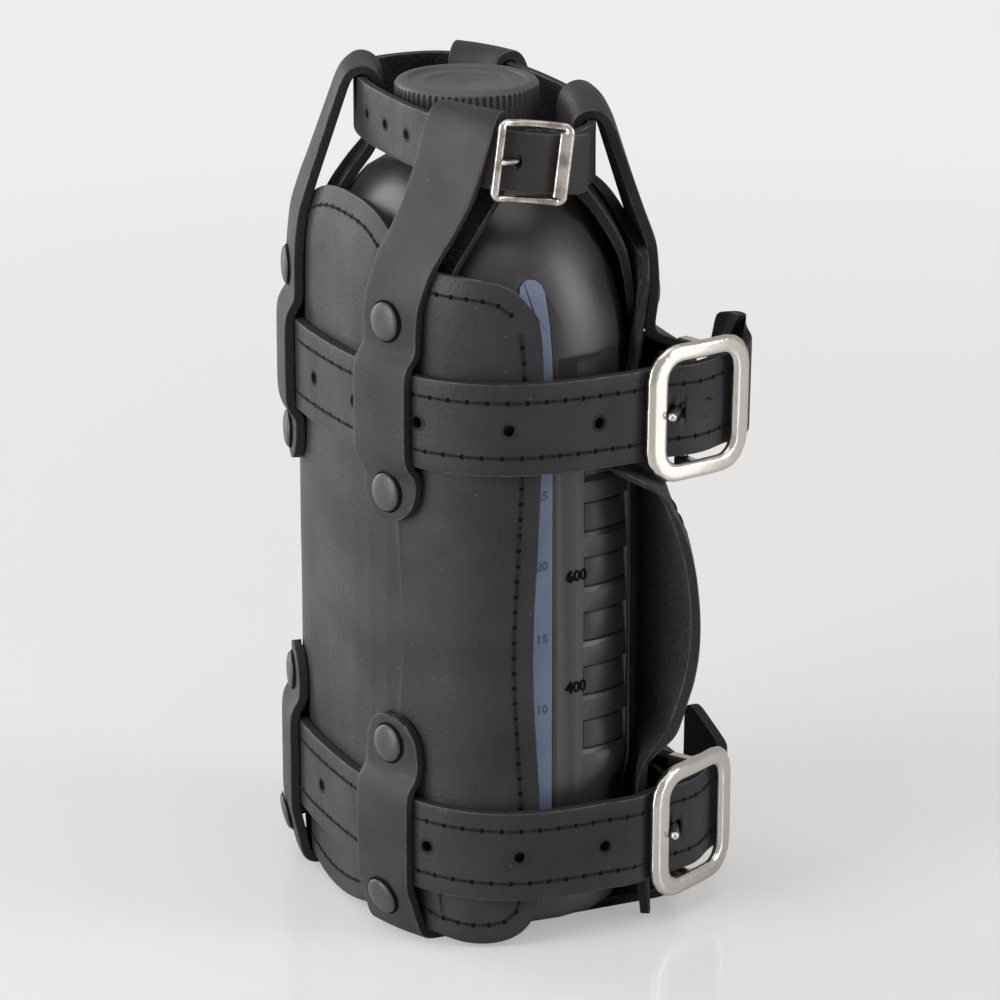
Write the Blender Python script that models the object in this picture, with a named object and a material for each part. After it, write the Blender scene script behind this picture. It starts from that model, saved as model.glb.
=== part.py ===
"""
Leather carrier with a one litre oil bottle.

The bottle stands between two leather panels. Two belts buckle round the panels, two straps run
under the bottle, and four folded straps hold a small collar round the neck. Units are metres,
+Z is up, the broad front faces -Y and the open narrow side with the buckles faces +X.
"""
import math

import bmesh
import bpy
import numpy as np
from mathutils import Matrix, Vector

# Bottle
BOTTLE_HALF_WIDTH = 0.0544
BOTTLE_HALF_DEPTH = 0.0354
BOTTLE_BASE_HEIGHT = 0.0031
BOTTLE_FOOT_RADIUS = 0.0060
BOTTLE_WALL = 0.0024
SHOULDER_HEIGHT = 0.1560
SHOULDER_RISE = 0.0500
NECK_RADIUS = 0.0166
NECK_BORE_RADIUS = 0.0145
NECK_HEIGHT = 0.0190
SECTION_POWER = 2.6
NECK_POWER = 2.0

# Sight strip and moulded scale on the narrow side
STRIPE_WIDTH = 0.0075
STRIPE_PLACE = -0.0042
STRIPE_DEPTH = 0.0009
STRIPE_BOTTOM = 0.0160
STRIPE_RISE = 0.0280
SIDE_PANEL_START = 0.0014
SIDE_PANEL_WIDTH = 0.0290
SIDE_PANEL_DEPTH = 0.0008
SIDE_PANEL_RISE = 0.0070
SIDE_PANEL_BOTTOM = 0.0180
RUNG_START = 0.0100
RUNG_WIDTH = 0.0190
RUNG_HEIGHT = 0.0100
RUNG_PITCH = 0.0154
RUNG_TOP = 0.1376
RUNG_DEPTH = 0.0016
RUNG_COUNT = 6

# Screw cap
CAP_RADIUS = 0.0196
CAP_HEIGHT = 0.0170
CAP_WALL = 0.0016
CAP_TOP = 0.0015
CAP_RIB_DEPTH = 0.0006
CAP_RIB_COUNT = 34
CAP_RIM_WIDTH = 0.0030
CAP_RIM_DROP = 0.0006
CAP_DISC_RADIUS = 0.0109
CAP_DISC_DROP = 0.0004
CAP_EDGE = 0.0010
LINER_THICKNESS = 0.0010

# Leather and clearances
CLEARANCE = 0.0003
LEATHER = 0.0028
PANEL_FIT = 0.0014
SKIVED = 0.0015

# Panels
PANEL_HALF_ARC = 0.0772
PANEL_STEADY_ARC = 0.0480
PANEL_SEAM_GAP = 0.0010
PANEL_WAIST = 0.0080
PANEL_WAIST_HEIGHT = 0.0850
PANEL_WAIST_REACH = 0.0620
PANEL_BOTTOM = 0.0006
PANEL_SIDE_RISE = 0.0308
PANEL_HUMP = 0.0130
PANEL_HUMP_FLAT = 0.0140
PANEL_HUMP_END = 0.0420
PANEL_TOP_CORNER = 0.0120
PANEL_TOP_CORNER_DROP = 0.0160
PANEL_LOW_CORNER = 0.0100
LEAN_START_RISE = 0.0220
LEAN_BEND_RISE = 0.0320
LEAN_LOW_SLOPE = 0.10
LEAN_HIGH_SLOPE = 0.32
FLAP_ARC = 0.0650
FLAP_FOOT_CUT = 0.0115
FLAP_FOOT_HEIGHT = 0.0460
FLAP_FOOT_RISE = 0.0110
FLARE_START = 0.0100
FLARE_RISE = 0.0440
FLARE_SHARES = ((0.0, 0.34), (0.225, 0.34), (0.285, 0.56), (0.335, 0.73), (0.38, 0.91), (0.45, 0.98),
                (0.515, 0.91), (0.565, 0.79), (0.6325, 0.60), (0.665, 0.0), (0.81, 0.0),
                (0.85, 0.25), (0.925, 0.40), (1.0, 0.24))
FLARE_BELT_SHARE = 0.733

# Belts
BELT_WIDTH = 0.0250
UPPER_BELT_DROP = 0.0094
LOWER_BELT_HEIGHT = 0.0292
UPPER_BELT_SLOPE = (0.0, -0.025)
LOWER_BELT_SLOPE = (-0.040, -0.030)
BELT_HOLE_DIAMETER = 0.0040
BELT_HOLE_PITCH = 0.0252
BELT_HOLE_COUNT = 6
BELT_LEAVES_SIDE = 0.0080
BELT_LEAVES_BACK = 0.0060
TAIL_TURN_RADIUS = 0.0070
TAIL_LENGTH = 0.0190
TAIL_RISE = 0.0090
TAIL_TIP = 0.0060
LOOP_RETURN = 0.0120

# Vertical straps
STRAP_WIDTH = 0.0200
STRAP_COLUMN_SHARES = (-1.0, -0.34, 0.34, 1.0)
STRAP_PLACE = 0.0325
STRAP_END_REACH = 0.0085
STRAP_RIVET_RISE = 0.0170
STRAP_FOLD_RADIUS = 0.0047
STRAP_FOLD_SINK = 0.0023
FOLD_FRONT_RIGHT = 0.0325
FOLD_BACK_RIGHT = 0.0295
FOLD_LEFT = -0.0290
STRAP_INNER_RISE = 0.0120
STRAP_INNER_SKIVED = 0.0014
STRAP_RISE = 0.0023
STRAP_FALL = 0.0045
INNER_LEG_SHARES = ((0.16, 0.0), (0.31, 0.09), (0.435, 0.41), (0.545, 0.65), (0.67, 0.86),
                    (0.83, 0.96), (1.0, 1.0))
INNER_LEG_LEATHER_SHARES = (1.0, 1.0, 1.0, 1.0, 0.9, 0.62, 0.0)

# Straps under the bottle
BASE_RIVET_HIGH = 0.0552
BASE_RIVET_SHARE = 0.64
BASE_BEND_RADIUS = 0.0035
BASE_INCLINE = 0.38

# Neck collar
COLLAR_WIDTH = 0.0160
COLLAR_LEATHER = 0.0022
COLLAR_CENTRE = 0.0040
COLLAR_HALF_WIDTH = 0.0460
COLLAR_HALF_DEPTH = 0.0240
COLLAR_RISE = 0.0702
COLLAR_FALL = 0.010
COLLAR_SAG = 0.0026
COLLAR_TILT = 0.130
COLLAR_SAG_START = 0.0220
COLLAR_SAG_END = 0.0480
COLLAR_SKIVED = 0.0012
COLLAR_HOLE_DIAMETER = 0.0030
COLLAR_HOLE_PITCH = 0.0130
COLLAR_HOLE_COUNT = 5
COLLAR_POWER = 2.6
COLLAR_BUCKLE_Y = -0.0045
COLLAR_TAIL = 0.0190
COLLAR_LAP = 0.0010
COLLAR_MERGE = 0.0085
COLLAR_STATIONS = 44

# Big buckles
BUCKLE_WIDTH = 0.0370
BUCKLE_HEIGHT = 0.0380
BUCKLE_END_BAR = 0.0066
BUCKLE_RAIL = 0.0050
BUCKLE_CORNER = 0.0095
BUCKLE_THICKNESS = 0.0026
BUCKLE_RISE = 0.0042
BUCKLE_BOW = 0.0012
BUCKLE_BAR_RADIUS = 0.0015
BUCKLE_END_GAP = 0.0009
PRONG_RADIUS = 0.0012
BUCKLE_UPPER_X = 0.0512
BUCKLE_UPPER_Y = 0.0400
BUCKLE_LOWER_X = 0.0478
BUCKLE_LOWER_Y = 0.0404

# Small buckle
SMALL_WIDTH = 0.0205
SMALL_HEIGHT = 0.0220
SMALL_END_BAR = 0.0022
SMALL_RAIL = 0.0018
SMALL_CORNER = 0.0030
SMALL_THICKNESS = 0.0018
SMALL_RISE = 0.0036
SMALL_BOW = 0.0004
SMALL_BAR_RADIUS = 0.0009
SMALL_END_GAP = 0.0006
SMALL_PRONG_RADIUS = 0.0007

# Rivets
RIVET_HEAD_RADIUS = 0.0052
RIVET_HEAD_HEIGHT = 0.0014
RIVET_POST_RADIUS = 0.0020
RIVET_SIDES = 10
HOLE_SIDES = 8
RIVET_DOME_SHARES = ((1.0, 0.42), (0.62, 1.0))

CUT_OVERRUN = 0.0020
MERGE_DISTANCE = 0.0000001
SECTION_STATIONS = 46

# Heights that follow the bottle's shoulder
UPPER_BELT_HEIGHT = SHOULDER_HEIGHT - UPPER_BELT_DROP
STRIPE_TOP = SHOULDER_HEIGHT + STRIPE_RISE
SIDE_PANEL_TOP = SHOULDER_HEIGHT + SIDE_PANEL_RISE
PANEL_SIDE_TOP = SHOULDER_HEIGHT + PANEL_SIDE_RISE
LEAN_START = SHOULDER_HEIGHT + LEAN_START_RISE
LEAN_BEND = SHOULDER_HEIGHT + LEAN_BEND_RISE
FLARE_TOP = SHOULDER_HEIGHT + FLARE_RISE
STRAP_RIVET_HIGH = SHOULDER_HEIGHT + STRAP_RIVET_RISE
STRAP_INNER_END = SHOULDER_HEIGHT + STRAP_INNER_RISE
COLLAR_TOP = SHOULDER_HEIGHT + COLLAR_RISE


def metres(*values):
    """A position as an array."""
    return np.array(values, dtype=float)


def unit(vector):
    """A vector of length one."""
    vector = np.asarray(vector, dtype=float)
    return vector / np.linalg.norm(vector)


def ease(share):
    """A smooth step from 0 to 1."""
    share = np.clip(share, 0.0, 1.0)
    return share * share * (3.0 - 2.0 * share)


def oval(angle, half_x, half_y, power):
    """A point of a superellipse."""
    cosine = math.cos(angle)
    sine = math.sin(angle)
    x = half_x * math.copysign(abs(cosine) ** (2.0 / power), cosine)
    y = half_y * math.copysign(abs(sine) ** (2.0 / power), sine)
    return x, y


class Ring:
    """A closed convex outline in plan, measured from its front middle towards +X."""

    SAMPLES = 2880

    def __init__(self, half_x, half_y, power, centre_x=0.0):
        turn = np.linspace(-0.5 * math.pi, 1.5 * math.pi, self.SAMPLES + 1)
        points = np.array([oval(angle, half_x, half_y, power) for angle in turn])
        points[:, 0] += centre_x
        steps = np.linalg.norm(np.diff(points, axis=0), axis=1)
        self.arc = np.concatenate([[0.0], np.cumsum(steps)])
        self.points = points
        self.length = self.arc[-1]
        along = np.gradient(points, self.arc, axis=0)
        along[0] = along[-1] = metres(1.0, 0.0)
        self.heading = np.unwrap(np.arctan2(along[:, 1], along[:, 0]))

    def at(self, arc, offset=0.0):
        """The plan point at an arc length, pushed outwards by the offset."""
        arc = arc % self.length
        x = np.interp(arc, self.arc, self.points[:, 0])
        y = np.interp(arc, self.arc, self.points[:, 1])
        heading = np.interp(arc, self.arc, self.heading)
        return metres(x + offset * math.sin(heading), y - offset * math.cos(heading))

    def arc_of(self, x=None, y=None, low=0.0, high=1.0):
        """The arc length where the outline passes x or y, between two shares of its length."""
        keep = (self.arc >= low * self.length) & (self.arc <= high * self.length)
        column, value = (0, x) if x is not None else (1, y)
        gap = np.abs(self.points[keep, column] - value)
        return float(self.arc[keep][np.argmin(gap)])

    def stations(self, count):
        """Arc lengths that lie closer together where the outline bends."""
        turned = (self.heading - self.heading[0]) / (2.0 * math.pi)
        mixed = 0.5 * self.arc / self.length + 0.5 * turned
        return np.interp(np.arange(count) / count, mixed, self.arc)


WALL = Ring(BOTTLE_HALF_WIDTH, BOTTLE_HALF_DEPTH, SECTION_POWER)
STATIONS = WALL.stations(SECTION_STATIONS)
PANEL_MIDDLE = PANEL_FIT + 0.5 * LEATHER
PANEL_FACE = PANEL_FIT + LEATHER
BELT_MIDDLE = PANEL_FACE + CLEARANCE + 0.5 * LEATHER
BACK_ARC = 0.5 * WALL.length
FLARE_ARC = WALL.arc_of(x=FLARE_START, low=0.3, high=0.5)


def flare_share(height):
    """How far the back panel's open edge straightens away from the bottle at a height."""
    heights = [UPPER_BELT_HEIGHT + (share - FLARE_BELT_SHARE) * FLARE_TOP
               for share, flare in FLARE_SHARES]
    return float(np.interp(height, heights, [flare for share, flare in FLARE_SHARES]))


def leaned(height, offset):
    """Above the shoulder the panels lean in, so an offset from the bottle's wall gets less."""
    low = min(max(height - LEAN_START, 0.0), LEAN_BEND - LEAN_START)
    high = max(height - LEAN_BEND, 0.0)
    return offset - LEAN_LOW_SLOPE * low - LEAN_HIGH_SLOPE * high


def flap_outline(share):
    """The open half of the back panel in plan: the bottle's outline, partly straightened."""
    keep = (WALL.arc <= FLARE_ARC) & (WALL.arc >= 0.15 * WALL.length)
    arc = WALL.arc[keep][::-1]
    heading = WALL.heading[keep][::-1]
    heading = heading[0] + (1.0 - share) * (heading - heading[0])
    step = np.diff(arc)
    middle = 0.5 * (heading[1:] + heading[:-1])
    x = np.concatenate([[0.0], np.cumsum(step * np.cos(middle))])
    y = np.concatenate([[0.0], np.cumsum(step * np.sin(middle))])
    start = WALL.at(FLARE_ARC)
    return arc, np.stack([start[0] + x, start[1] + y], axis=1), heading


def back_wall(arcs, height, offset):
    """Plan points on the back panel, which flares on its open side."""
    arcs = np.atleast_1d(arcs)
    wrapped = np.array([WALL.at(arc, offset) for arc in arcs])
    outline_arcs, points, headings = flap_outline(flare_share(height))
    order = np.argsort(outline_arcs)
    x = np.interp(arcs, outline_arcs[order], points[order, 0])
    y = np.interp(arcs, outline_arcs[order], points[order, 1])
    heading = np.interp(arcs, outline_arcs[order], headings[order])
    flared = np.stack([x + offset * np.sin(heading), y - offset * np.cos(heading)], axis=1)
    return np.where((arcs >= FLARE_ARC)[:, None], wrapped, flared)


def finish(name, colour, roughness, metallic=0.0):
    """One Principled material."""
    material = bpy.data.materials.new(name)
    material.use_nodes = True
    shader = material.node_tree.nodes["Principled BSDF"]
    shader.inputs["Base Color"].default_value = (*colour, 1.0)
    shader.inputs["Roughness"].default_value = roughness
    shader.inputs["Metallic"].default_value = metallic
    return material


def leather(name):
    return finish(name, (0.035, 0.035, 0.037), 0.55)


def nickel(name):
    return finish(name, (0.62, 0.57, 0.55), 0.28, 1.0)


def plastic(name):
    return finish(name, (0.020, 0.020, 0.021), 0.35)


def place(name, mesh, material, sharp_angle=math.radians(35.0)):
    """Put a mesh in the scene as a named piece."""
    work = bmesh.new()
    work.from_mesh(mesh)
    bmesh.ops.recalc_face_normals(work, faces=work.faces)
    work.to_mesh(mesh)
    work.free()
    mesh.shade_smooth()
    mesh.set_sharp_from_angle(angle=sharp_angle)
    piece = bpy.data.objects.new(name, mesh)
    bpy.context.collection.objects.link(piece)
    if material is not None:
        piece.data.materials.append(material)
    return piece


def shift_origin(piece, origin, axis_frame=None):
    """Move a piece's origin to its joint without moving the piece."""
    matrix = Matrix.Translation(Vector(origin))
    if axis_frame is not None:
        matrix = matrix @ Matrix(axis_frame).transposed().to_4x4()
    piece.data.transform(matrix.inverted())
    piece.matrix_world = matrix


def hide_cutter(cutter):
    cutter.hide_render = True
    cutter.display_type = "WIRE"


def cut(piece, cutter):
    """Take a cutter's shape out of a piece."""
    hide_cutter(cutter)
    modifier = piece.modifiers.new(cutter.name, "BOOLEAN")
    modifier.operation = "DIFFERENCE"
    modifier.solver = "EXACT"
    modifier.object = cutter


def mesh_from(name, points, faces):
    mesh = bpy.data.meshes.new(name)
    mesh.from_pydata([tuple(point) for point in points], [], faces)
    mesh.update()
    return mesh


def slab_mesh(name, middle, thickness):
    """A sheet of leather: a grid of middle points, thickened both ways and closed round its edge."""
    middle = np.asarray(middle, dtype=float)
    rows, columns = middle.shape[:2]
    along = np.gradient(middle, axis=0)
    across = np.gradient(middle, axis=1)
    normal = np.cross(along, across)
    normal /= np.linalg.norm(normal, axis=2, keepdims=True)
    half = 0.5 * np.broadcast_to(np.asarray(thickness, dtype=float).reshape(-1, 1, 1),
                                 (rows, 1, 1)) if np.ndim(thickness) else 0.5 * thickness
    points = np.concatenate([(middle + normal * half).reshape(-1, 3),
                             (middle - normal * half).reshape(-1, 3)])
    count = rows * columns
    faces = []
    for row in range(rows - 1):
        for column in range(columns - 1):
            a = row * columns + column
            b = a + 1
            c = a + columns + 1
            d = a + columns
            faces.append((a, b, c, d))
            faces.append((count + d, count + c, count + b, count + a))
    border = [(0, column) for column in range(columns)]
    border += [(row, columns - 1) for row in range(1, rows)]
    border += [(rows - 1, column) for column in range(columns - 2, -1, -1)]
    border += [(row, 0) for row in range(rows - 2, 0, -1)]
    loop = [row * columns + column for row, column in border]
    for first, second in zip(loop, loop[1:] + loop[:1]):
        faces.append((second, first, count + first, count + second))
    return mesh_from(name, points, faces)


def loft_mesh(name, rings, close_bottom=True, close_top=True):
    """Bridge rings of equal size into one closed body."""
    size = len(rings[0])
    points = [point for ring in rings for point in ring]
    faces = []
    for level in range(len(rings) - 1):
        for index in range(size):
            a = level * size + index
            b = level * size + (index + 1) % size
            faces.append((a, b, b + size, a + size))
    if close_bottom:
        faces.append(tuple(range(size - 1, -1, -1)))
    if close_top:
        start = (len(rings) - 1) * size
        faces.append(tuple(range(start, start + size)))
    return mesh_from(name, points, faces)


def hoop_mesh(name, rings):
    """Bridge rings into a closed hoop, the last one back to the first."""
    mesh = loft_mesh(name, rings + [rings[0]], False, False)
    work = bmesh.new()
    work.from_mesh(mesh)
    bmesh.ops.remove_doubles(work, verts=work.verts, dist=MERGE_DISTANCE)
    work.to_mesh(mesh)
    work.free()
    return mesh


def rod_points(start, end, start_radius, end_radius, sides, squash=1.0, squash_axis=None):
    """Two rings of a round rod between two points."""
    start = np.asarray(start, dtype=float)
    end = np.asarray(end, dtype=float)
    axis = unit(end - start)
    side = squash_axis if squash_axis is not None else np.cross(axis, metres(0.31, 0.47, 0.83))
    side = unit(side - np.dot(side, axis) * axis)
    other = np.cross(axis, side)
    rings = []
    for point, radius in ((start, start_radius), (end, end_radius)):
        ring = []
        for index in range(sides):
            angle = 2.0 * math.pi * (index + 0.5) / sides
            ring.append(point + radius * (squash * math.cos(angle) * side + math.sin(angle) * other))
        rings.append(ring)
    return rings


def rods(name, ends, radius, sides, squash=1.0, squash_axis=None):
    """Several straight rods in one mesh, used as hole cutters."""
    points = []
    faces = []
    for start, end in ends:
        rings = rod_points(start, end, radius, radius, sides, squash, squash_axis)
        base = len(points)
        points += rings[0] + rings[1]
        for index in range(sides):
            following = (index + 1) % sides
            faces.append((base + index, base + following,
                          base + sides + following, base + sides + index))
        faces.append(tuple(base + index for index in range(sides - 1, -1, -1)))
        faces.append(tuple(base + sides + index for index in range(sides)))
    return place(name, mesh_from(name, points, faces), None)


def curve_between(start, start_heading, end, end_heading, count):
    """Plan points of a smooth bend between two headed points, ends left out."""
    start = np.asarray(start, dtype=float)
    end = np.asarray(end, dtype=float)
    reach = np.linalg.norm(end - start)
    points = []
    for share in np.linspace(0.0, 1.0, count + 2)[1:-1]:
        square = share * share
        cube = square * share
        points.append((2.0 * cube - 3.0 * square + 1.0) * start
                      + (cube - 2.0 * square + share) * reach * np.asarray(start_heading)
                      + (3.0 * square - 2.0 * cube) * end
                      + (cube - square) * reach * np.asarray(end_heading))
    return points


class BuckleSize:
    """The castings: a bowed ring, and a bar set below it on two lugs."""

    def __init__(self, width, height, end_bar, rail, corner, thickness, rise, bow, bar_radius,
                 end_gap, prong_radius, strap, skived):
        self.width = width
        self.height = height
        self.end_bar = end_bar
        self.rail = rail
        self.corner = corner
        self.thickness = thickness
        self.rise = rise
        self.bow = bow
        self.bar_radius = bar_radius
        self.end_gap = end_gap
        self.prong_radius = prong_radius
        self.strap = strap
        self.skived = skived

    @property
    def loop_radius(self):
        return self.bar_radius + CLEARANCE + 0.5 * self.skived

    @property
    def crown(self):
        """Height of the strap's middle over the bar."""
        return self.bar_radius + self.skived + 0.5 * self.strap + 2.0 * CLEARANCE

    @property
    def under_bars(self):
        """Height of the strap's middle under the end bars."""
        return self.rise - self.end_gap - 0.5 * self.strap

    @property
    def reach(self):
        return 0.5 * (self.width - self.end_bar)

    @property
    def hole_along(self):
        return -0.4 * self.reach

    @property
    def tip_along(self):
        return self.end_bar - 0.5 * self.width - 0.5 * self.prong_radius

    def ring_top(self, along):
        """Height of the bowed ring's top face over the bar."""
        return self.rise + self.bow * (1.0 - (2.0 * along / self.width) ** 2) + self.thickness

    def strap_height(self, along):
        """The strap's wave through the buckle."""
        share = min(abs(along) / self.reach, 1.0)
        wave = 0.5 + 0.5 * math.cos(math.pi * share)
        return self.under_bars + (self.crown - self.under_bars) * wave


BIG = BuckleSize(BUCKLE_WIDTH, BUCKLE_HEIGHT, BUCKLE_END_BAR, BUCKLE_RAIL, BUCKLE_CORNER,
                 BUCKLE_THICKNESS, BUCKLE_RISE, BUCKLE_BOW, BUCKLE_BAR_RADIUS, BUCKLE_END_GAP,
                 PRONG_RADIUS, LEATHER, SKIVED)
SMALL = BuckleSize(SMALL_WIDTH, SMALL_HEIGHT, SMALL_END_BAR, SMALL_RAIL, SMALL_CORNER,
                   SMALL_THICKNESS, SMALL_RISE, SMALL_BOW, SMALL_BAR_RADIUS, SMALL_END_GAP,
                   SMALL_PRONG_RADIUS, COLLAR_LEATHER, COLLAR_SKIVED)


class Buckle:
    """A buckle in place: the bar's plan position and height, and the strap's heading over it."""

    def __init__(self, size, bar, height, heading_degrees, slope):
        self.size = size
        heading = math.radians(heading_degrees)
        plan = metres(math.cos(heading), math.sin(heading))
        climb = slope[0] * plan[0] + slope[1] * plan[1]
        self.along = unit(metres(plan[0], plan[1], climb))
        self.out = unit(metres(plan[1], -plan[0], 0.0))
        self.up = np.cross(self.out, self.along)
        self.bar = metres(bar[0], bar[1], height)

    def point(self, along, up, out):
        return self.bar + along * self.along + up * self.up + out * self.out

    def plan(self, along, out):
        return self.point(along, 0.0, out)[:2]

    def heading(self):
        return unit(self.along[:2])


def belt_height(middle, slope, point):
    return middle + slope[0] * point[0] + slope[1] * point[1]


UPPER_BAR = metres(BUCKLE_UPPER_X, BUCKLE_UPPER_Y)
LOWER_BAR = metres(BUCKLE_LOWER_X, BUCKLE_LOWER_Y)
UPPER_HEADING = 106.0
LOWER_HEADING = 118.0
UPPER_BUCKLE = Buckle(BIG, UPPER_BAR, belt_height(UPPER_BELT_HEIGHT, UPPER_BELT_SLOPE, UPPER_BAR),
                      UPPER_HEADING, UPPER_BELT_SLOPE)
LOWER_BUCKLE = Buckle(BIG, LOWER_BAR, belt_height(LOWER_BELT_HEIGHT, LOWER_BELT_SLOPE, LOWER_BAR),
                      LOWER_HEADING, LOWER_BELT_SLOPE)


def ribbon_grid(centres, half_widths, buckle=None, leans=None):
    """Two columns of points either side of a line, square to its climb or to the buckle's bar."""
    centres = np.asarray(centres, dtype=float)
    along = np.gradient(centres, axis=0)
    along /= np.linalg.norm(along, axis=1, keepdims=True)
    up = metres(0.0, 0.0, 1.0) - along[:, 2:3] * along
    up /= np.linalg.norm(up, axis=1, keepdims=True)
    if buckle is not None:
        leans = np.asarray(leans, dtype=float).reshape(-1, 1)
        up = (1.0 - leans) * up + leans * buckle.up
        up /= np.linalg.norm(up, axis=1, keepdims=True)
    half = np.asarray(half_widths, dtype=float).reshape(-1, 1)
    return np.stack([centres - up * half, centres + up * half], axis=1)


def line_length(points):
    steps = np.linalg.norm(np.diff(np.asarray(points), axis=0), axis=1)
    return np.concatenate([[0.0], np.cumsum(steps)])


def belt_plan(buckle):
    """The belt's line in plan, from its sewn loop, round the bottle, to its free tip."""
    size = buckle.size
    bar = buckle.bar[:2]
    plan = []
    thickness = []
    leans = []
    loop = size.loop_radius
    for share in (1.0, 0.5, 0.12, 0.0):
        plan.append(bar + metres(-share * LOOP_RETURN, -loop))
    for angle in (-60.0, -30.0, 0.0, 30.0, 60.0, 90.0):
        turn = math.radians(angle)
        plan.append(bar + loop * metres(math.cos(turn), math.sin(turn)))
    plan.append(bar + metres(-0.12 * LOOP_RETURN, loop))
    thickness += [size.skived] * len(plan)
    leans += [1.0] * len(plan)
    loop_end = len(plan) - 1
    leave = WALL.arc_of(x=BELT_LEAVES_BACK, low=0.3, high=0.5)
    back = WALL.at(leave, BELT_MIDDLE)
    plan += curve_between(plan[-1], (-1.0, 0.0), back, (-1.0, 0.02), 4)
    thickness += [size.skived, 0.5 * (size.skived + size.strap), size.strap, size.strap]
    leans += [0.8, 0.6, 0.4, 0.2]
    side = WALL.arc_of(y=BELT_LEAVES_SIDE, low=0.2, high=0.3)
    wrapped = [arc for arc in STATIONS if arc > leave] + list(WALL.length + STATIONS)
    wrapped = [arc for arc in wrapped if leave < arc < WALL.length + side]
    for arc in [leave] + wrapped + [WALL.length + side]:
        plan.append(WALL.at(arc, BELT_MIDDLE))
        thickness.append(size.strap)
        leans.append(0.0)
    entry = -0.5 * size.width
    first = buckle.plan(entry, size.under_bars)
    heading = unit(WALL.at(side + CUT_OVERRUN, BELT_MIDDLE) - WALL.at(side, BELT_MIDDLE))
    plan += curve_between(plan[-1], heading, first, buckle.heading(), 3)
    leans += [0.25, 0.5, 0.75]
    marks = np.linspace(entry, -entry, 13)
    buckle_start = len(plan)
    plan += [buckle.plan(mark, size.strap_height(mark)) for mark in marks]
    plan += tail_plan(buckle)
    thickness += [size.strap] * (len(plan) - len(thickness))
    leans += [1.0] * (len(plan) - len(leans))
    return plan, thickness, leans, loop_end, buckle_start, marks


def tail_plan(buckle):
    """Behind the buckle the free end turns along the back."""
    size = buckle.size
    start = buckle.plan(0.5 * size.width, size.under_bars)
    heading = buckle.heading()
    turn_left = math.pi - math.atan2(heading[1], heading[0])
    inwards = metres(-heading[1], heading[0])
    centre = start + TAIL_TURN_RADIUS * inwards
    points = []
    for share in np.linspace(0.0, 1.0, 5)[1:]:
        angle = share * turn_left
        points.append(centre + TAIL_TURN_RADIUS * (heading * math.sin(angle)
                                                   - inwards * math.cos(angle)))
    for share in (0.35, 0.7, 0.85, 0.95, 1.0):
        points.append(points[3] + metres(-share * TAIL_LENGTH, 0.0))
    return points


def make_belt(name, buckle, middle, slope):
    """A belt with its loop, its holes and its tongue slot."""
    plan, thickness, leans, loop_end, buckle_start, marks = belt_plan(buckle)
    length = line_length(plan)
    tail_start = length[buckle_start + len(marks) - 1]
    centres = []
    for point, run in zip(plan, length):
        rise = TAIL_RISE * max(0.0, (run - tail_start) / (length[-1] - tail_start))
        centres.append((point[0], point[1], belt_height(middle, slope, point) + rise))
    centres = np.array(centres)
    half = np.full(len(plan), 0.5 * BELT_WIDTH)
    from_tip = length[-1] - length
    close = from_tip < TAIL_TIP
    corner = 1.0 - from_tip[close] / TAIL_TIP
    half[close] = half[close] - TAIL_TIP * (1.0 - np.sqrt(np.clip(1.0 - corner * corner, 0.0, 1.0)))
    half = np.maximum(half, 0.5 * BELT_WIDTH - 0.8 * TAIL_TIP)
    belt = place(name, slab_mesh(name, ribbon_grid(centres, half, buckle, leans),
                                  thickness), leather(name))
    used = buckle.size.hole_along
    used_run = length[buckle_start] + (used + 0.5 * buckle.size.width)
    ends = []
    for count in range(1, BELT_HOLE_COUNT + 1):
        run = used_run - count * BELT_HOLE_PITCH
        ends.append(through_line(centres, length, run, buckle.size.strap))
    cut(belt, rods(name + "_hole_cutter", ends, 0.5 * BELT_HOLE_DIAMETER, HOLE_SIDES))
    cut(belt, prong_hole_cutter(name + "_prong_cutter", buckle))
    cut(belt, slot_cutter(name + "_slot_cutter", buckle))
    return belt, centres, length


def through_line(centres, length, run, thickness):
    """A short line through a strap at a distance along it."""
    point = metres(*[np.interp(run, length, centres[:, axis]) for axis in range(3)])
    index = min(max(int(np.searchsorted(length, run)), 1), len(length) - 1)
    along = unit(centres[index] - centres[index - 1])
    normal = unit(np.cross(along, metres(0.0, 0.0, 1.0)))
    reach = 0.5 * thickness + CUT_OVERRUN
    return point - reach * normal, point + reach * normal


def box_mesh(name, corner_points):
    """A six sided block from its eight corners, bottom four first."""
    faces = [(3, 2, 1, 0), (4, 5, 6, 7), (0, 1, 5, 4), (1, 2, 6, 5), (2, 3, 7, 6), (3, 0, 4, 7)]
    return mesh_from(name, corner_points, faces)


def slot_cutter(name, buckle):
    """The slot in the belt's loop that the prong's eye sits in."""
    size = buckle.size
    half = 1.5 * size.prong_radius + 2.0 * CLEARANCE
    reach = size.loop_radius + 0.5 * size.skived
    out = reach + 0.5 * CLEARANCE
    corners = []
    for up in (-half, half):
        for side, push in ((-reach - 2.0 * size.prong_radius, -reach), (reach, -reach),
                           (reach, out), (-reach - 2.0 * size.prong_radius, out)):
            corners.append(buckle.point(side, up, push))
    return place(name, box_mesh(name, corners), None)


def prong_line(buckle):
    """The prong's bend, as distances along the strap and out from the bar."""
    size = buckle.size
    root = size.bar_radius + 2.2 * CLEARANCE
    hole = size.hole_along
    tip = size.tip_along
    return [(-root, 0.3 * size.prong_radius), (hole, size.strap_height(hole)),
            (tip, size.ring_top(tip) + 0.85 * size.prong_radius + 1.3 * CLEARANCE)]


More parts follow.
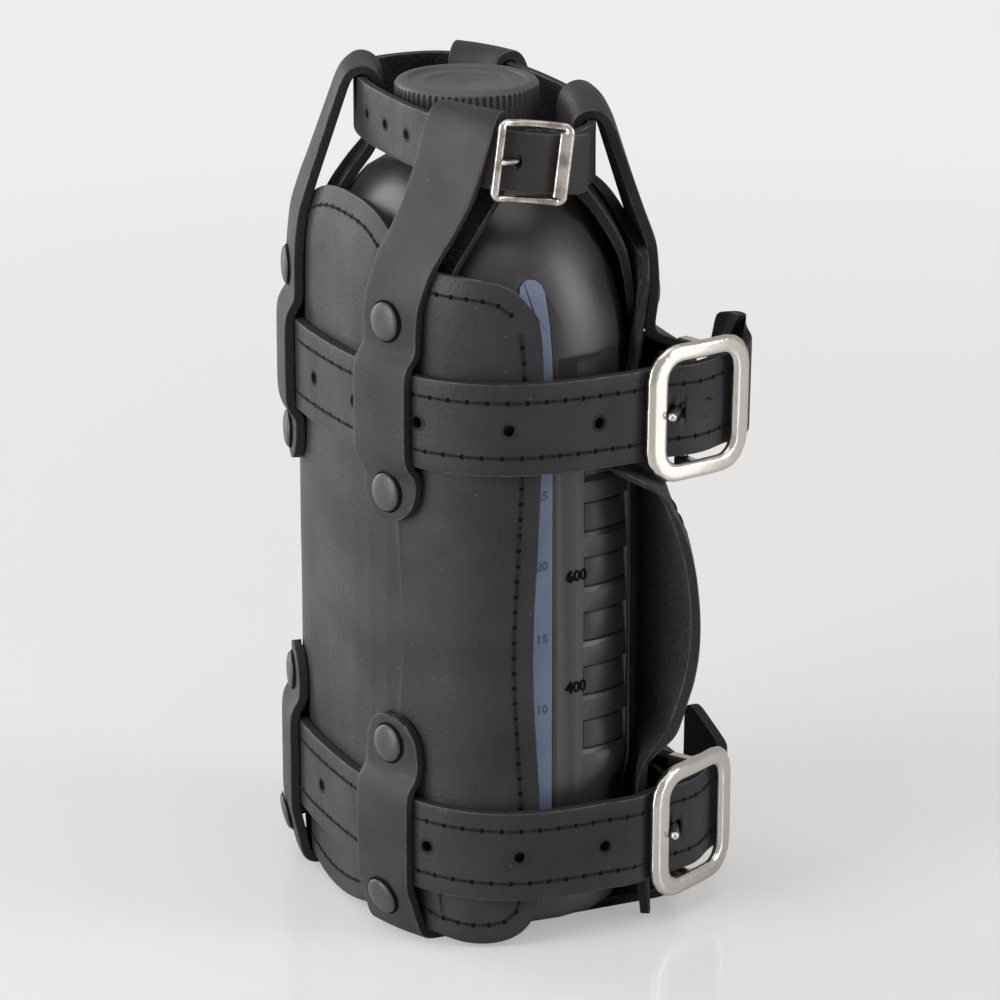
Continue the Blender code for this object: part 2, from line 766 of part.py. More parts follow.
def prong_hole_cutter(name, buckle):
    """The used hole follows the prong's slant, long enough for its play."""
    size = buckle.size
    line = [metres(*place_on_line) for place_on_line in prong_line(buckle)]
    direction = unit(line[2] - line[0])
    reach = 1.6 * size.strap
    first = line[1] - reach * direction
    last = line[1] + reach * direction
    ends = [(buckle.point(first[0], 0.0, first[1]), buckle.point(last[0], 0.0, last[1]))]
    radius = size.prong_radius + 1.5 * CLEARANCE
    play = 1.0 + 0.45 * size.prong_radius / radius
    return rods(name, ends, radius, RIVET_SIDES, play, np.cross(buckle.up, ends[0][1] - ends[0][0]))


def make_prong(name, buckle):
    """The prong: an eye round the bar and a bent round shaft."""
    size = buckle.size
    inner = size.bar_radius + CLEARANCE
    outer = size.loop_radius + 0.5 * size.skived - 0.3 * CLEARANCE
    half = 1.4 * size.prong_radius
    sides = 12
    rings = []
    for radius, up in ((inner, -half), (outer, -half), (outer, half), (inner, half)):
        ring = []
        for index in range(sides):
            angle = 2.0 * math.pi * (index + 0.5) / sides
            ring.append(buckle.point(radius * math.cos(angle), up, radius * math.sin(angle)))
        rings.append(ring)
    prong = place(name, hoop_mesh(name, rings), nickel(name))
    shaft = place(name + "_shaft", prong_shaft(name + "_shaft", buckle), None)
    hide_cutter(shaft)
    union = prong.modifiers.new("shaft", "BOOLEAN")
    union.operation = "UNION"
    union.solver = "EXACT"
    union.object = shaft
    return prong, shaft


def prong_shaft(name, buckle):
    size = buckle.size
    line = prong_line(buckle)
    sides = 10
    radius = size.prong_radius
    steps = [(line[0], 1.0), (line[1], 1.0), (line[2], 0.85)]
    rings = []
    for number, ((along, out), share) in enumerate(steps):
        before = metres(*line[max(number - 1, 0)])
        after = metres(*line[min(number + 1, len(line) - 1)])
        direction = unit(after - before) if number else metres(-1.0, 0.0)
        side = metres(-direction[1], direction[0])
        ring = []
        for index in range(sides):
            angle = 2.0 * math.pi * (index + 0.5) / sides
            spread = share * radius * math.sin(angle)
            ring.append(buckle.point(along + spread * side[0], share * radius * math.cos(angle),
                                     out + spread * side[1]))
        rings.append(ring)
    direction = unit(metres(*line[2]) - metres(*line[1]))
    tip = metres(*line[2]) + 0.5 * radius * direction
    side = metres(-direction[1], direction[0])
    ring = []
    for index in range(sides):
        angle = 2.0 * math.pi * (index + 0.5) / sides
        spread = 0.5 * radius * math.sin(angle)
        ring.append(buckle.point(tip[0] + spread * side[0], 0.5 * radius * math.cos(angle),
                                 tip[1] + spread * side[1]))
    rings.append(ring)
    return loft_mesh(name, rings)


def ring_outline(half_width, half_height, radius, corner_steps, rail_steps):
    """A rounded rectangle with even steps along its rails."""
    points = []
    centres = ((1, 1), (-1, 1), (-1, -1), (1, -1))
    for number, (sign_x, sign_y) in enumerate(centres):
        centre = metres(sign_x * (half_width - radius), sign_y * (half_height - radius))
        for step in range(corner_steps + 1):
            angle = 0.5 * math.pi * (number + step / corner_steps)
            points.append(centre + radius * metres(math.cos(angle), math.sin(angle)))
        if number % 2 == 0:
            following = metres(-sign_x * (half_width - radius), sign_y * half_height)
            here = points[-1]
            for step in range(1, rail_steps):
                points.append(here + (following - here) * step / rail_steps)
    return points


def make_buckle(name, buckle):
    """The ring, bowed along the strap, with the bar and its lugs joined on."""
    size = buckle.size
    outer = ring_outline(0.5 * size.width, 0.5 * size.height, size.corner, 4, 4)
    inner_radius = max(size.corner - size.rail, 0.5 * size.rail)
    inner = ring_outline(0.5 * size.width - size.end_bar, 0.5 * size.height - size.rail,
                         inner_radius, 4, 4)
    edge = 0.25 * size.thickness
    rings = []
    for share, height in ((0.0, size.thickness - 1.6 * edge), (0.18, size.thickness),
                          (0.82, size.thickness), (1.0, size.thickness - 1.6 * edge),
                          (0.92, 0.0), (0.08, 0.0)):
        ring = []
        for far, near in zip(outer, inner):
            along, up = far + share * (near - far)
            bow = size.bow * (1.0 - (2.0 * along / size.width) ** 2)
            ring.append(buckle.point(along, up, size.rise + bow + height))
        rings.append(ring)
    frame = place(name, hoop_mesh(name, rings), nickel(name))
    lug_up = 0.5 * size.height - 0.5 * size.rail
    bar = rods(name + "_bar", [(buckle.point(0.0, -lug_up, 0.0), buckle.point(0.0, lug_up, 0.0))],
               size.bar_radius, 12)
    lugs = []
    half_lug = 0.35 * size.rail
    for sign in (-1.0, 1.0):
        corners = []
        for out in (-size.bar_radius, size.rise + size.bow + 0.5 * size.thickness):
            for along, up in ((-1.0, -1.0), (1.0, -1.0), (1.0, 1.0), (-1.0, 1.0)):
                corners.append(buckle.point(along * 1.2 * size.bar_radius,
                                            sign * lug_up + up * half_lug, out))
        lugs.append(place("%s_lug_%d" % (name, len(lugs)), box_mesh(name + "_lug", corners), None))
    extras = [bar] + lugs
    for extra in extras:
        hide_cutter(extra)
        union = frame.modifiers.new(extra.name, "BOOLEAN")
        union.operation = "UNION"
        union.solver = "EXACT"
        union.object = extra
    return frame, extras


def face_line(points, offset):
    """A plan line pushed to its outer side, as x and y arrays sorted by x."""
    points = np.asarray(points, dtype=float)
    along = np.gradient(points, axis=0)
    along /= np.linalg.norm(along, axis=1, keepdims=True)
    moved = points + offset * np.stack([along[:, 1], -along[:, 0]], axis=1)
    order = np.argsort(moved[:, 0])
    return moved[order, 0], moved[order, 1]


def panel_y(xs, side, height, offset):
    """Depths of a surface at an offset from the bottle's wall, at some widths, front or back."""
    offset = leaned(height, offset)
    if side < 0:
        arcs = np.linspace(-0.2, 0.2, 81) * WALL.length
        points = np.array([WALL.at(arc, offset) for arc in arcs])
    else:
        arcs = np.linspace(0.3, 0.7, 81) * WALL.length
        points = back_wall(arcs, height, offset)
    order = np.argsort(points[:, 0])
    return np.interp(xs, points[order, 0], points[order, 1])


def strap_columns(sign):
    """Widths of a vertical strap's columns."""
    return [sign * STRAP_PLACE + share * 0.5 * STRAP_WIDTH * 0.96
            for share in STRAP_COLUMN_SHARES]


class BeltLine:
    """What a vertical strap needs of a belt that it passes over."""

    def __init__(self, name, buckle, middle, slope):
        self.name = name
        self.middle = middle
        self.slope = slope
        plan, thickness, leans, loop_end, start, marks = belt_plan(buckle)
        back = [point for point in plan[loop_end:start] if point[1] > 0.25 * BOTTLE_HALF_DEPTH]
        front = [point for point in plan[loop_end:start] if point[1] < -0.25 * BOTTLE_HALF_DEPTH]
        offset = 0.5 * LEATHER + CLEARANCE + 0.5 * LEATHER
        self.back = face_line(back, offset)
        self.front = face_line(front, offset)

    def y(self, xs, side):
        line = self.front if side < 0 else self.back
        return np.interp(xs, line[0], line[1])

    def span(self, x, side):
        y = float(self.y(x, side))
        middle = belt_height(self.middle, self.slope, (x, y))
        spread = 0.5 * STRAP_WIDTH * (abs(self.slope[0]) + abs(self.slope[1]))
        half = 0.5 * BELT_WIDTH + spread + CLEARANCE
        return middle - half, middle + half


UPPER_LINE = BeltLine("upper_belt", UPPER_BUCKLE, UPPER_BELT_HEIGHT, UPPER_BELT_SLOPE)
LOWER_LINE = BeltLine("lower_belt", LOWER_BUCKLE, LOWER_BELT_HEIGHT, LOWER_BELT_SLOPE)
STRAP_ON_PANEL = PANEL_FACE + CLEARANCE + 0.5 * LEATHER


def strap_row(columns, side, height, over, line):
    """One row of a vertical strap: on the panel, over the belt, or part way between."""
    columns = np.asarray(columns)
    low = panel_y(columns, side, height, STRAP_ON_PANEL)
    high = side * np.maximum(side * line.y(columns, side), side * low)
    return np.stack([columns, low + over * (high - low), np.full(len(columns), height)], axis=1)


def end_rows(columns, side, line, end, inwards):
    """The rounded end of a strap, as rows that narrow towards it."""
    middle = 0.5 * (columns[0] + columns[-1])
    radius = 0.5 * STRAP_WIDTH
    rows = []
    for angle in (18.0, 42.0, 66.0, 90.0):
        turn = math.radians(angle)
        height = end + inwards * radius * (1.0 - math.cos(turn))
        narrow = [middle + (x - middle) * math.sin(turn) for x in columns]
        rows.append(strap_row(narrow, side, height, 0.0, line))
    return rows


def lower_rivet_height(side):
    """The lowest rivet sits just under the place where the strap rises over the belt."""
    low, high = UPPER_LINE.span(STRAP_PLACE, side)
    return low - STRAP_RISE - RIVET_HEAD_RADIUS - 3.0 * CLEARANCE


def neck_strap_rows(sign, side):
    """The middle surface of a neck strap, from its lower end, over the collar, to its inner end."""
    columns = strap_columns(sign)
    line = UPPER_LINE
    low, high = line.span(sign * STRAP_PLACE, side)
    end = lower_rivet_height(side) - STRAP_END_REACH
    rows = end_rows(columns, side, line, end, 1.0)
    for height in (share * FLARE_TOP for share, flare in FLARE_SHARES):
        if rows[-1][0][2] + STRAP_RISE < height < low - 1.5 * STRAP_RISE:
            rows.append(strap_row(columns, side, height, 0.0, line))
    rows.append(strap_row(columns, side, low - STRAP_RISE, 0.0, line))
    rows.append(strap_row(columns, side, low, 1.0, line))
    rows.append(strap_row(columns, side, high, 1.0, line))
    rows.append(strap_row(columns, side, high + 0.5 * STRAP_FALL, 0.5, line))
    rows.append(strap_row(columns, side, high + STRAP_FALL, 0.0, line))
    for height in (share * FLARE_TOP for share, flare in FLARE_SHARES):
        if high + STRAP_FALL + STRAP_RISE < height < LEAN_START - STRAP_RISE:
            rows.append(strap_row(columns, side, height, 0.0, line))
    rows.append(strap_row(columns, side, LEAN_START, 0.0, line))
    rows.append(strap_row(columns, side, LEAN_BEND, 0.0, line))
    rows.append(strap_row(columns, side, panel_top(STRAP_PLACE - 0.5 * STRAP_WIDTH), 0.0, line))
    return np.array(rows + free_rows(rows[-1], columns, sign, side))


def collar_inset(arc):
    """How far the collar lies inside its own line where its free end laps over it."""
    past = (arc - COLLAR_BAR_ARC) % COLLAR.length - COLLAR_TAIL - COLLAR_LAP
    return (COLLAR_LEATHER + CLEARANCE) * float(1.0 - ease(past / COLLAR_MERGE))


def fold_rows(sign, side):
    """The fold follows the collar's own line, square across its upper edge."""
    place_x = FOLD_LEFT
    if sign > 0:
        place_x = FOLD_FRONT_RIGHT if side < 0 else FOLD_BACK_RIGHT
    quarter = {(1, -1): 0.0, (1, 1): 0.25, (-1, 1): 0.5, (-1, -1): 0.75}[(int(sign), int(side))]
    centre = COLLAR.arc_of(x=place_x, low=quarter, high=quarter + 0.25)
    arcs = [centre - side * share * 0.5 * STRAP_WIDTH for share in STRAP_COLUMN_SHARES]
    rows = []
    for angle in (8.0, 48.0, 90.0, 132.0, 172.0):
        turn = math.radians(angle)
        row = []
        for arc in arcs:
            x, y = COLLAR.at(arc, STRAP_FOLD_RADIUS * math.cos(turn) - collar_inset(arc))
            height = collar_top(COLLAR.at(arc)) - STRAP_FOLD_SINK
            row.append((x, y, height + STRAP_FOLD_RADIUS * math.sin(turn)))
        rows.append(np.array(row))
    return rows


def free_rows(last, columns, sign, side):
    """Above the panel the strap leans in, folds over the collar and comes back down inside."""
    folds = fold_rows(sign, side)
    rows = [last + share * (folds[0] - last) for share in (0.34, 0.68)]
    rows += folds
    top = folds[-1]
    for drop_share, depth_share in INNER_LEG_SHARES:
        height = top[:, 2] - drop_share * (top[:, 2] - STRAP_INNER_END)
        middle = PANEL_FIT - CLEARANCE - 0.5 * STRAP_INNER_SKIVED
        seat_y = panel_y(columns, side, STRAP_INNER_END, middle)
        x = top[:, 0] + depth_share * (np.asarray(columns) - top[:, 0])
        y = top[:, 1] + depth_share * (seat_y - top[:, 1])
        rows.append(np.stack([x, y, height], axis=1))
    return rows


def strap_thickness(rows):
    """Full thickness, skived on the inner end."""
    thickness = np.full(len(rows), LEATHER)
    for number, share in enumerate(INNER_LEG_LEATHER_SHARES):
        place_in_rows = len(rows) - len(INNER_LEG_LEATHER_SHARES) + number
        thickness[place_in_rows] = STRAP_INNER_SKIVED + share * (LEATHER - STRAP_INNER_SKIVED)
    return thickness


def base_strap_rows(sign):
    """The middle surface of a base strap, down the front, under the bottle and up the back."""
    columns = strap_columns(sign)
    halves = []
    for side in (-1.0, 1.0):
        line = LOWER_LINE
        low, high = line.span(sign * STRAP_PLACE, side)
        rows = end_rows(columns, side, line, BASE_RIVET_HIGH + STRAP_END_REACH, -1.0)
        rows.append(strap_row(columns, side, high + STRAP_FALL, 0.0, line))
        rows.append(strap_row(columns, side, high + 0.5 * STRAP_FALL, 0.5, line))
        rows.append(strap_row(columns, side, high, 1.0, line))
        top = strap_row(columns, side, low, 1.0, line)
        foot_height = BASE_BEND_RADIUS + 0.5 * LEATHER
        foot = strap_row(columns, side, foot_height, 0.0, line)
        hang = side * top[:, 1] - BASE_INCLINE * (low - foot_height)
        foot[:, 1] = side * np.maximum(side * foot[:, 1], hang)
        rows.append(top)
        rows += [top + share * (foot - top) for share in (0.14, 0.86)]
        for angle in (8.0, 35.0, 62.0, 90.0):
            turn = math.radians(angle)
            y = foot[:, 1] - side * BASE_BEND_RADIUS * (1.0 - math.cos(turn))
            z = foot[:, 2] - BASE_BEND_RADIUS * math.sin(turn)
            rows.append(np.stack([foot[:, 0], y, z], axis=1))
        inner = rows[-1].copy()
        inner[:, 1] -= side * 2.0 * BASE_BEND_RADIUS
        rows.append(inner)
        halves.append(rows)
    return np.array(halves[0] + halves[1][::-1])


def panel_edge_arc(height, side, hand):
    """Half the panel's width round the bottle at a height: full at the ends, narrow at the waist."""
    if side > 0 and hand < 0:
        risen = float(ease((height - FLAP_FOOT_HEIGHT) / FLAP_FOOT_RISE))
        return FLAP_ARC - FLAP_FOOT_CUT * (1.0 - risen)
    full = PANEL_HALF_ARC if hand > 0 else 0.25 * WALL.length - 0.5 * PANEL_SEAM_GAP
    if side > 0:
        full = 0.25 * WALL.length - 0.5 * PANEL_SEAM_GAP
    share = abs(height - PANEL_WAIST_HEIGHT) / PANEL_WAIST_REACH
    return full - PANEL_WAIST * float(1.0 - ease(share))


def panel_top(arc):
    arc = abs(arc)
    hump = PANEL_HUMP * float(1.0 - ease((arc - PANEL_HUMP_FLAT)
                                         / (PANEL_HUMP_END - PANEL_HUMP_FLAT)))
    inset = max(0.0, arc - (PANEL_HALF_ARC - PANEL_TOP_CORNER)) / PANEL_TOP_CORNER
    drop = PANEL_TOP_CORNER_DROP * (1.0 - math.sqrt(max(0.0, 1.0 - inset * inset)))
    return PANEL_SIDE_TOP + hump - drop


def panel_bottom(arc):
    """The lower edge, lifted where the base straps pass under it, with rounded corners."""
    arc = abs(arc)
    lift = BASE_BEND_RADIUS + 0.5 * LEATHER - CLEARANCE - PANEL_BOTTOM
    near = STRAP_PLACE - 0.5 * STRAP_WIDTH - 3.0 * LEATHER
    far = STRAP_PLACE + 0.5 * STRAP_WIDTH + 3.2 * LEATHER
    over = float(ease((arc - near) / LEATHER)) * float(ease((far - arc) / LEATHER))
    inset = max(0.0, arc - (PANEL_HALF_ARC - PANEL_LOW_CORNER)) / PANEL_LOW_CORNER
    rise = PANEL_LOW_CORNER * (1.0 - math.sqrt(max(0.0, 1.0 - inset * inset)))
    return PANEL_BOTTOM + lift * over + rise


def panel_arcs():
    """Columns of a panel: the wall's stations, then closer ones round the corners."""
    steady = [arc for arc in STATIONS if arc < PANEL_HALF_ARC - PANEL_TOP_CORNER]
    corner = [PANEL_HALF_ARC - PANEL_TOP_CORNER * (1.0 - math.sin(math.radians(angle)))
              for angle in (14.0, 50.0, 90.0)]
    right = steady + corner
    return [-arc for arc in right[:0:-1]] + right


def panel_heights(arc, side):
    """Row heights of one column, with a row at each change of the flare and of the lean."""
    bottom = panel_bottom(arc)
    top = panel_top(arc)
    start = min(LEAN_START, bottom + 0.93 * (top - bottom))
    if side < 0:
        heights = [bottom + share * (start - bottom) for share in FRONT_ROW_SHARES]
    else:
        changes = [share * FLARE_TOP for share, flare in FLARE_SHARES[1:-2]]
        steady = changes[-3]
        squeeze = min(1.0, (start - steady) / (LEAN_START - steady))
        heights = [bottom, bottom + BACK_FOOT_SHARE * (changes[0] - bottom)] + changes[:-2]
        heights += [steady + squeeze * (height - steady) for height in changes[-2:]] + [start]
    return heights + [min(LEAN_BEND, start + 0.7 * (top - start)), top]


def make_panel(name, side):
    arcs = panel_arcs()
    columns = []
    for arc in arcs:
        column = []
        for height in panel_heights(arc, side):
            edge = panel_edge_arc(height, side, math.copysign(1.0, arc))
            outer = max(0.0, abs(arc) - PANEL_STEADY_ARC)
            stretch = (edge - PANEL_STEADY_ARC) / (PANEL_HALF_ARC - PANEL_STEADY_ARC)
            placed = math.copysign(min(abs(arc), PANEL_STEADY_ARC) + outer * stretch, arc)
            offset = leaned(height, PANEL_MIDDLE)
            if side < 0:
                x, y = WALL.at(placed, offset)
            else:
                x, y = back_wall(BACK_ARC + placed, height, offset)[0]
            column.append((x, y, height))
        columns.append(column)
    rows = np.array(columns).transpose(1, 0, 2)
    return place(name, slab_mesh(name, rows, LEATHER), leather(name))


FRONT_ROW_SHARES = (0.0, 0.06, 0.20, 0.34, 0.48, 0.62, 0.78, 1.0)
BACK_FOOT_SHARE = 0.2


class RivetSet:
    """Rivets of one strap, with the cutters for every layer that they pass."""

    def __init__(self, name):
        self.name = name
        self.places = []

    def add(self, rows, height, side, inner_offset):
        """Seat a rivet on the strap's middle column, its post reaching in to an offset."""
        rows = np.asarray(rows)
        half = rows.shape[1] // 2
        middle = 0.5 * (rows[:, half - 1] + rows[:, half])
        across = rows[:, half] - rows[:, half - 1]
        best = None
        for index in range(len(middle) - 1):
            low, high = middle[index][2], middle[index + 1][2]
            if middle[index][1] * side <= 0.0 or (low - height) * (high - height) > 0.0:
                continue
            share = (height - low) / (high - low) if high != low else 0.0
            point = middle[index] + share * (middle[index + 1] - middle[index])
            out = unit(np.cross(unit(middle[index + 1] - middle[index]), across[index]))
            if out[1] * side < 0.0:
                out = -out
            if best is None or point[1] * side > best[0][1] * side:
                best = (point, out)
        point, out = best
        face = point + 0.5 * LEATHER * out
        reach = LEATHER
        for _ in range(6):
            tip = face - reach * out
            wanted = float(panel_y(tip[0], side, tip[2], inner_offset))
            reach += side * (tip[1] - wanted) / (side * out[1])
        self.places.append((face, out, reach))

    def head_mesh(self, name, face, out, reach):
        """A domed head with its post."""
        profile = [(RIVET_POST_RADIUS, -reach), (RIVET_POST_RADIUS, CLEARANCE),
                   (RIVET_HEAD_RADIUS, CLEARANCE)]
        profile += [(RIVET_HEAD_RADIUS * wide, CLEARANCE + RIVET_HEAD_HEIGHT * tall)
                    for wide, tall in RIVET_DOME_SHARES]
        side = unit(np.cross(out, metres(0.0, 0.0, 1.0)))
        up = np.cross(side, out)
        rings = []
        for radius, height in profile:
            ring = []
            for index in range(RIVET_SIDES):
                angle = 2.0 * math.pi * index / RIVET_SIDES
                ring.append(face + height * out
                            + radius * (math.cos(angle) * side + math.sin(angle) * up))
            rings.append(ring)
        return loft_mesh(name, rings)

    def make(self, carried):
        """Place the rivets and drill the pieces that they hold."""
        for number, (face, out, reach) in enumerate(self.places):
            name = "%s_%d" % (self.name, number + 1)
            place(name, self.head_mesh(name, face, out, reach),
                  finish(name, (0.03, 0.03, 0.03), 0.3, 0.6))
        ends = [(face - (reach + CUT_OVERRUN) * out, face + CUT_OVERRUN * out)
                for face, out, reach in self.places]
        cutter = rods(self.name + "_cutter", ends, RIVET_POST_RADIUS + CLEARANCE, HOLE_SIDES)
        for piece in carried:
            cut(piece, cutter)


def shoulder_share(height):
    """How much of the bottle's width is left at a height over the shoulder."""
    share = min(max((height - SHOULDER_HEIGHT) / SHOULDER_RISE, 0.0), 1.0)
    return math.sqrt(max(0.0, 1.0 - share * share))


def bottle_section(height, inset):
    """Half width, half depth and power of the bottle at a height, shrunk by an inset."""
    left = shoulder_share(height)
    half_x = NECK_RADIUS + (BOTTLE_HALF_WIDTH - NECK_RADIUS) * left
    half_y = NECK_RADIUS + (BOTTLE_HALF_DEPTH - NECK_RADIUS) * left
    power = NECK_POWER + (SECTION_POWER - NECK_POWER) * left
    over_base = height - BOTTLE_BASE_HEIGHT
    if over_base < BOTTLE_FOOT_RADIUS:
        fall = BOTTLE_FOOT_RADIUS - over_base
        inset = inset + BOTTLE_FOOT_RADIUS - math.sqrt(max(0.0, BOTTLE_FOOT_RADIUS ** 2 - fall ** 2))
    return half_x - inset, half_y - inset, power


BOTTLE_TURNS = [math.atan2(*(
    (abs(y) / BOTTLE_HALF_DEPTH) ** (0.5 * SECTION_POWER) * (1 if y >= 0 else -1),
    (abs(x) / BOTTLE_HALF_WIDTH) ** (0.5 * SECTION_POWER) * (1 if x >= 0 else -1)))
    for x, y in [WALL.at(arc) for arc in STATIONS[::2]]]


def bottle_ring(height, inset):
    half_x, half_y, power = bottle_section(height, inset)
    ring = []
    for turn in BOTTLE_TURNS:
        x, y = oval(turn, half_x, half_y, power)
        ring.append((x, y, height))
    return ring


def circle_ring(radius, height):
    return [(radius * math.cos(turn), radius * math.sin(turn), height) for turn in BOTTLE_TURNS]


FOOT_SHARES = (0.0, 0.13, 0.5, 1.0)
SHOULDER_SHARES = (0.0, 0.16, 0.32, 0.48, 0.62, 0.76, 0.88, 0.96, 0.995)
NECK_TOP = SHOULDER_HEIGHT + SHOULDER_RISE + NECK_HEIGHT


def make_bottle():
    """A hollow flask, lofted up its outside and down its inside."""
    rings = []
    base = BOTTLE_BASE_HEIGHT
    for share in FOOT_SHARES:
        rings.append(bottle_ring(base + share * BOTTLE_FOOT_RADIUS, 0.0))
    for share in SHOULDER_SHARES:
        rings.append(bottle_ring(SHOULDER_HEIGHT + share * SHOULDER_RISE, 0.0))
    rings.append(circle_ring(NECK_RADIUS, SHOULDER_HEIGHT + 1.03 * SHOULDER_RISE))
    rings.append(circle_ring(NECK_RADIUS, NECK_TOP))
    rings.append(circle_ring(NECK_BORE_RADIUS, NECK_TOP))
    inner_top = SHOULDER_HEIGHT + 0.93 * SHOULDER_RISE
    rings.append(circle_ring(NECK_BORE_RADIUS, inner_top + BOTTLE_WALL))
    for share in (0.90, 0.70, 0.45, 0.0):
        rings.append(bottle_ring(SHOULDER_HEIGHT + share * SHOULDER_RISE - BOTTLE_WALL * share,
                                 BOTTLE_WALL))
    rings.append(bottle_ring(base + BOTTLE_WALL + BOTTLE_FOOT_RADIUS, BOTTLE_WALL))
    rings.append([(0.93 * x, 0.93 * y, base + BOTTLE_WALL) for x, y, z in rings[-1]])
    bottle = place("bottle_body", loft_mesh("bottle_body", rings), plastic("bottle_body"))
    recess = wall_block("side_panel_cutter", SIDE_PANEL_START, SIDE_PANEL_WIDTH,
                        SIDE_PANEL_BOTTOM, SIDE_PANEL_TOP, SIDE_PANEL_DEPTH)
    cut(bottle, recess)
    for number in range(RUNG_COUNT):
        top = RUNG_TOP - number * RUNG_PITCH
        rung = wall_block("rung_cutter_%d" % number, RUNG_START, RUNG_WIDTH, top - RUNG_HEIGHT, top,
                          RUNG_DEPTH)
        cut(bottle, rung)
    return bottle


SIDE_ARC = 0.25 * WALL.length


def wall_block(name, start, width, low, high, depth):
    """A cutter that follows the bottle's wall, from a depth inside it to well outside."""
    reach = depth + CUT_OVERRUN
    rows = []
    for height in (low, high):
        rows.append([(*WALL.at(SIDE_ARC + start + share * width, 0.5 * reach - depth), height)
                     for share in (0.0, 0.2, 0.4, 0.6, 0.8, 1.0)])
    return place(name, slab_mesh(name, rows, reach), None)


def stripe_rows(half_width, low, high, offset):
    """The sight strip's middle surface, which follows the wall and the shoulder."""
    heights = [low, low + 0.5 * half_width, SHOULDER_HEIGHT]
    heights += [SHOULDER_HEIGHT + share * SHOULDER_RISE for share in SHOULDER_SHARES[1:4]]
    heights = [height for height in heights if height < high - half_width] + [high - half_width]
    heights += [high - half_width * (1.0 - math.sin(math.radians(angle)))
                for angle in (35.0, 65.0, 85.0)]
    rows = []
    for height in heights:
        over = max(0.0, height - (high - half_width)) / half_width
        narrow = half_width * math.sqrt(max(0.0, 1.0 - over * over))
        half_x = bottle_section(height, 0.0)[0]
        next_x = bottle_section(height + CUT_OVERRUN, 0.0)[0]
        lean = unit(metres(CUT_OVERRUN, half_x - next_x))
        rows.append([(half_x + offset * lean[0], STRIPE_PLACE + share * narrow,
                      height + offset * lean[1]) for share in (-1.0, 0.0, 1.0)])
    return rows


def make_stripe(bottle):
    """The translucent sight strip, let into a groove in the bottle's wall."""
    thickness = STRIPE_DEPTH - CLEARANCE
    half = 0.5 * STRIPE_WIDTH
    flat = WALL.at(SIDE_ARC + STRIPE_PLACE)[0] - BOTTLE_HALF_WIDTH
    offset = flat - 0.5 * thickness
    rows = stripe_rows(half, STRIPE_BOTTOM, STRIPE_TOP, offset)
    place("level_stripe", slab_mesh("level_stripe", rows, thickness),
          finish("level_stripe", (0.19, 0.23, 0.36), 0.35))
    reach = STRIPE_DEPTH + CUT_OVERRUN
    rows = stripe_rows(half + CLEARANCE, STRIPE_BOTTOM - CLEARANCE, STRIPE_TOP + CLEARANCE,
                       flat - STRIPE_DEPTH + 0.5 * reach)
    cut(bottle, place("stripe_cutter", slab_mesh("stripe_cutter", rows, reach), None))


def make_cap():
    """The ribbed cap, with its recessed top, and the liner that seals on the neck."""
    seat = NECK_TOP + CLEARANCE
    top = seat + LINER_THICKNESS + CLEARANCE + CAP_TOP
    foot = top - CAP_HEIGHT
    sides = 2 * CAP_RIB_COUNT
    ribs = []
    for index in range(sides):
        ribs.append(CAP_RADIUS if index % 2 else CAP_RADIUS - CAP_RIB_DEPTH)

    def ribbed(height, inset):
        ring = []
        for index in range(sides):
            angle = 2.0 * math.pi * index / sides
            radius = ribs[index] - inset
            ring.append((radius * math.cos(angle), radius * math.sin(angle), height))
        return ring

    def plain(radius, height):
        return [(radius * math.cos(2.0 * math.pi * index / sides),
                 radius * math.sin(2.0 * math.pi * index / sides), height)
                for index in range(sides)]

    bore = CAP_RADIUS - CAP_WALL - CAP_RIB_DEPTH
    rings = [plain(bore, top - CAP_TOP), plain(bore, foot), ribbed(foot, 0.0),
             ribbed(top - 2.0 * CAP_EDGE, 0.0), plain(CAP_RADIUS - 0.3 * CAP_EDGE, top - CAP_EDGE),
             plain(CAP_RADIUS - CAP_EDGE, top), plain(CAP_RADIUS - CAP_RIM_WIDTH, top),
             plain(CAP_RADIUS - CAP_RIM_WIDTH - CAP_RIM_DROP, top - CAP_RIM_DROP),
             plain(CAP_DISC_RADIUS + CAP_DISC_DROP, top - CAP_RIM_DROP),
             plain(CAP_DISC_RADIUS, top - CAP_RIM_DROP - CAP_DISC_DROP)]
    cap = place("bottle_cap", loft_mesh("bottle_cap", rings), finish("bottle_cap", (0.05, 0.05, 0.05),
                                                                    0.5))
    disc = [plain(bore - CLEARANCE, seat)[::2], plain(bore - CLEARANCE, seat + LINER_THICKNESS)[::2]]
    liner = place("cap_liner", loft_mesh("cap_liner", disc),
                  finish("cap_liner", (0.7, 0.7, 0.68), 0.6))
    shift_origin(cap, (0.0, 0.0, foot))
    shift_origin(liner, (0.0, 0.0, seat))
    return cap, liner


COLLAR = Ring(COLLAR_HALF_WIDTH, COLLAR_HALF_DEPTH, COLLAR_POWER, COLLAR_CENTRE)
COLLAR_BAR_ARC = COLLAR.arc_of(y=COLLAR_BUCKLE_Y, low=0.1, high=0.4)


def collar_top(point):
    """Height of the collar's upper edge, which sags where the small buckle hangs."""
    share = float(ease((point[0] - COLLAR_SAG_START) / (COLLAR_SAG_END - COLLAR_SAG_START)))
    return COLLAR_TOP - COLLAR_FALL * point[0] - share * (COLLAR_SAG + COLLAR_TILT * point[1])


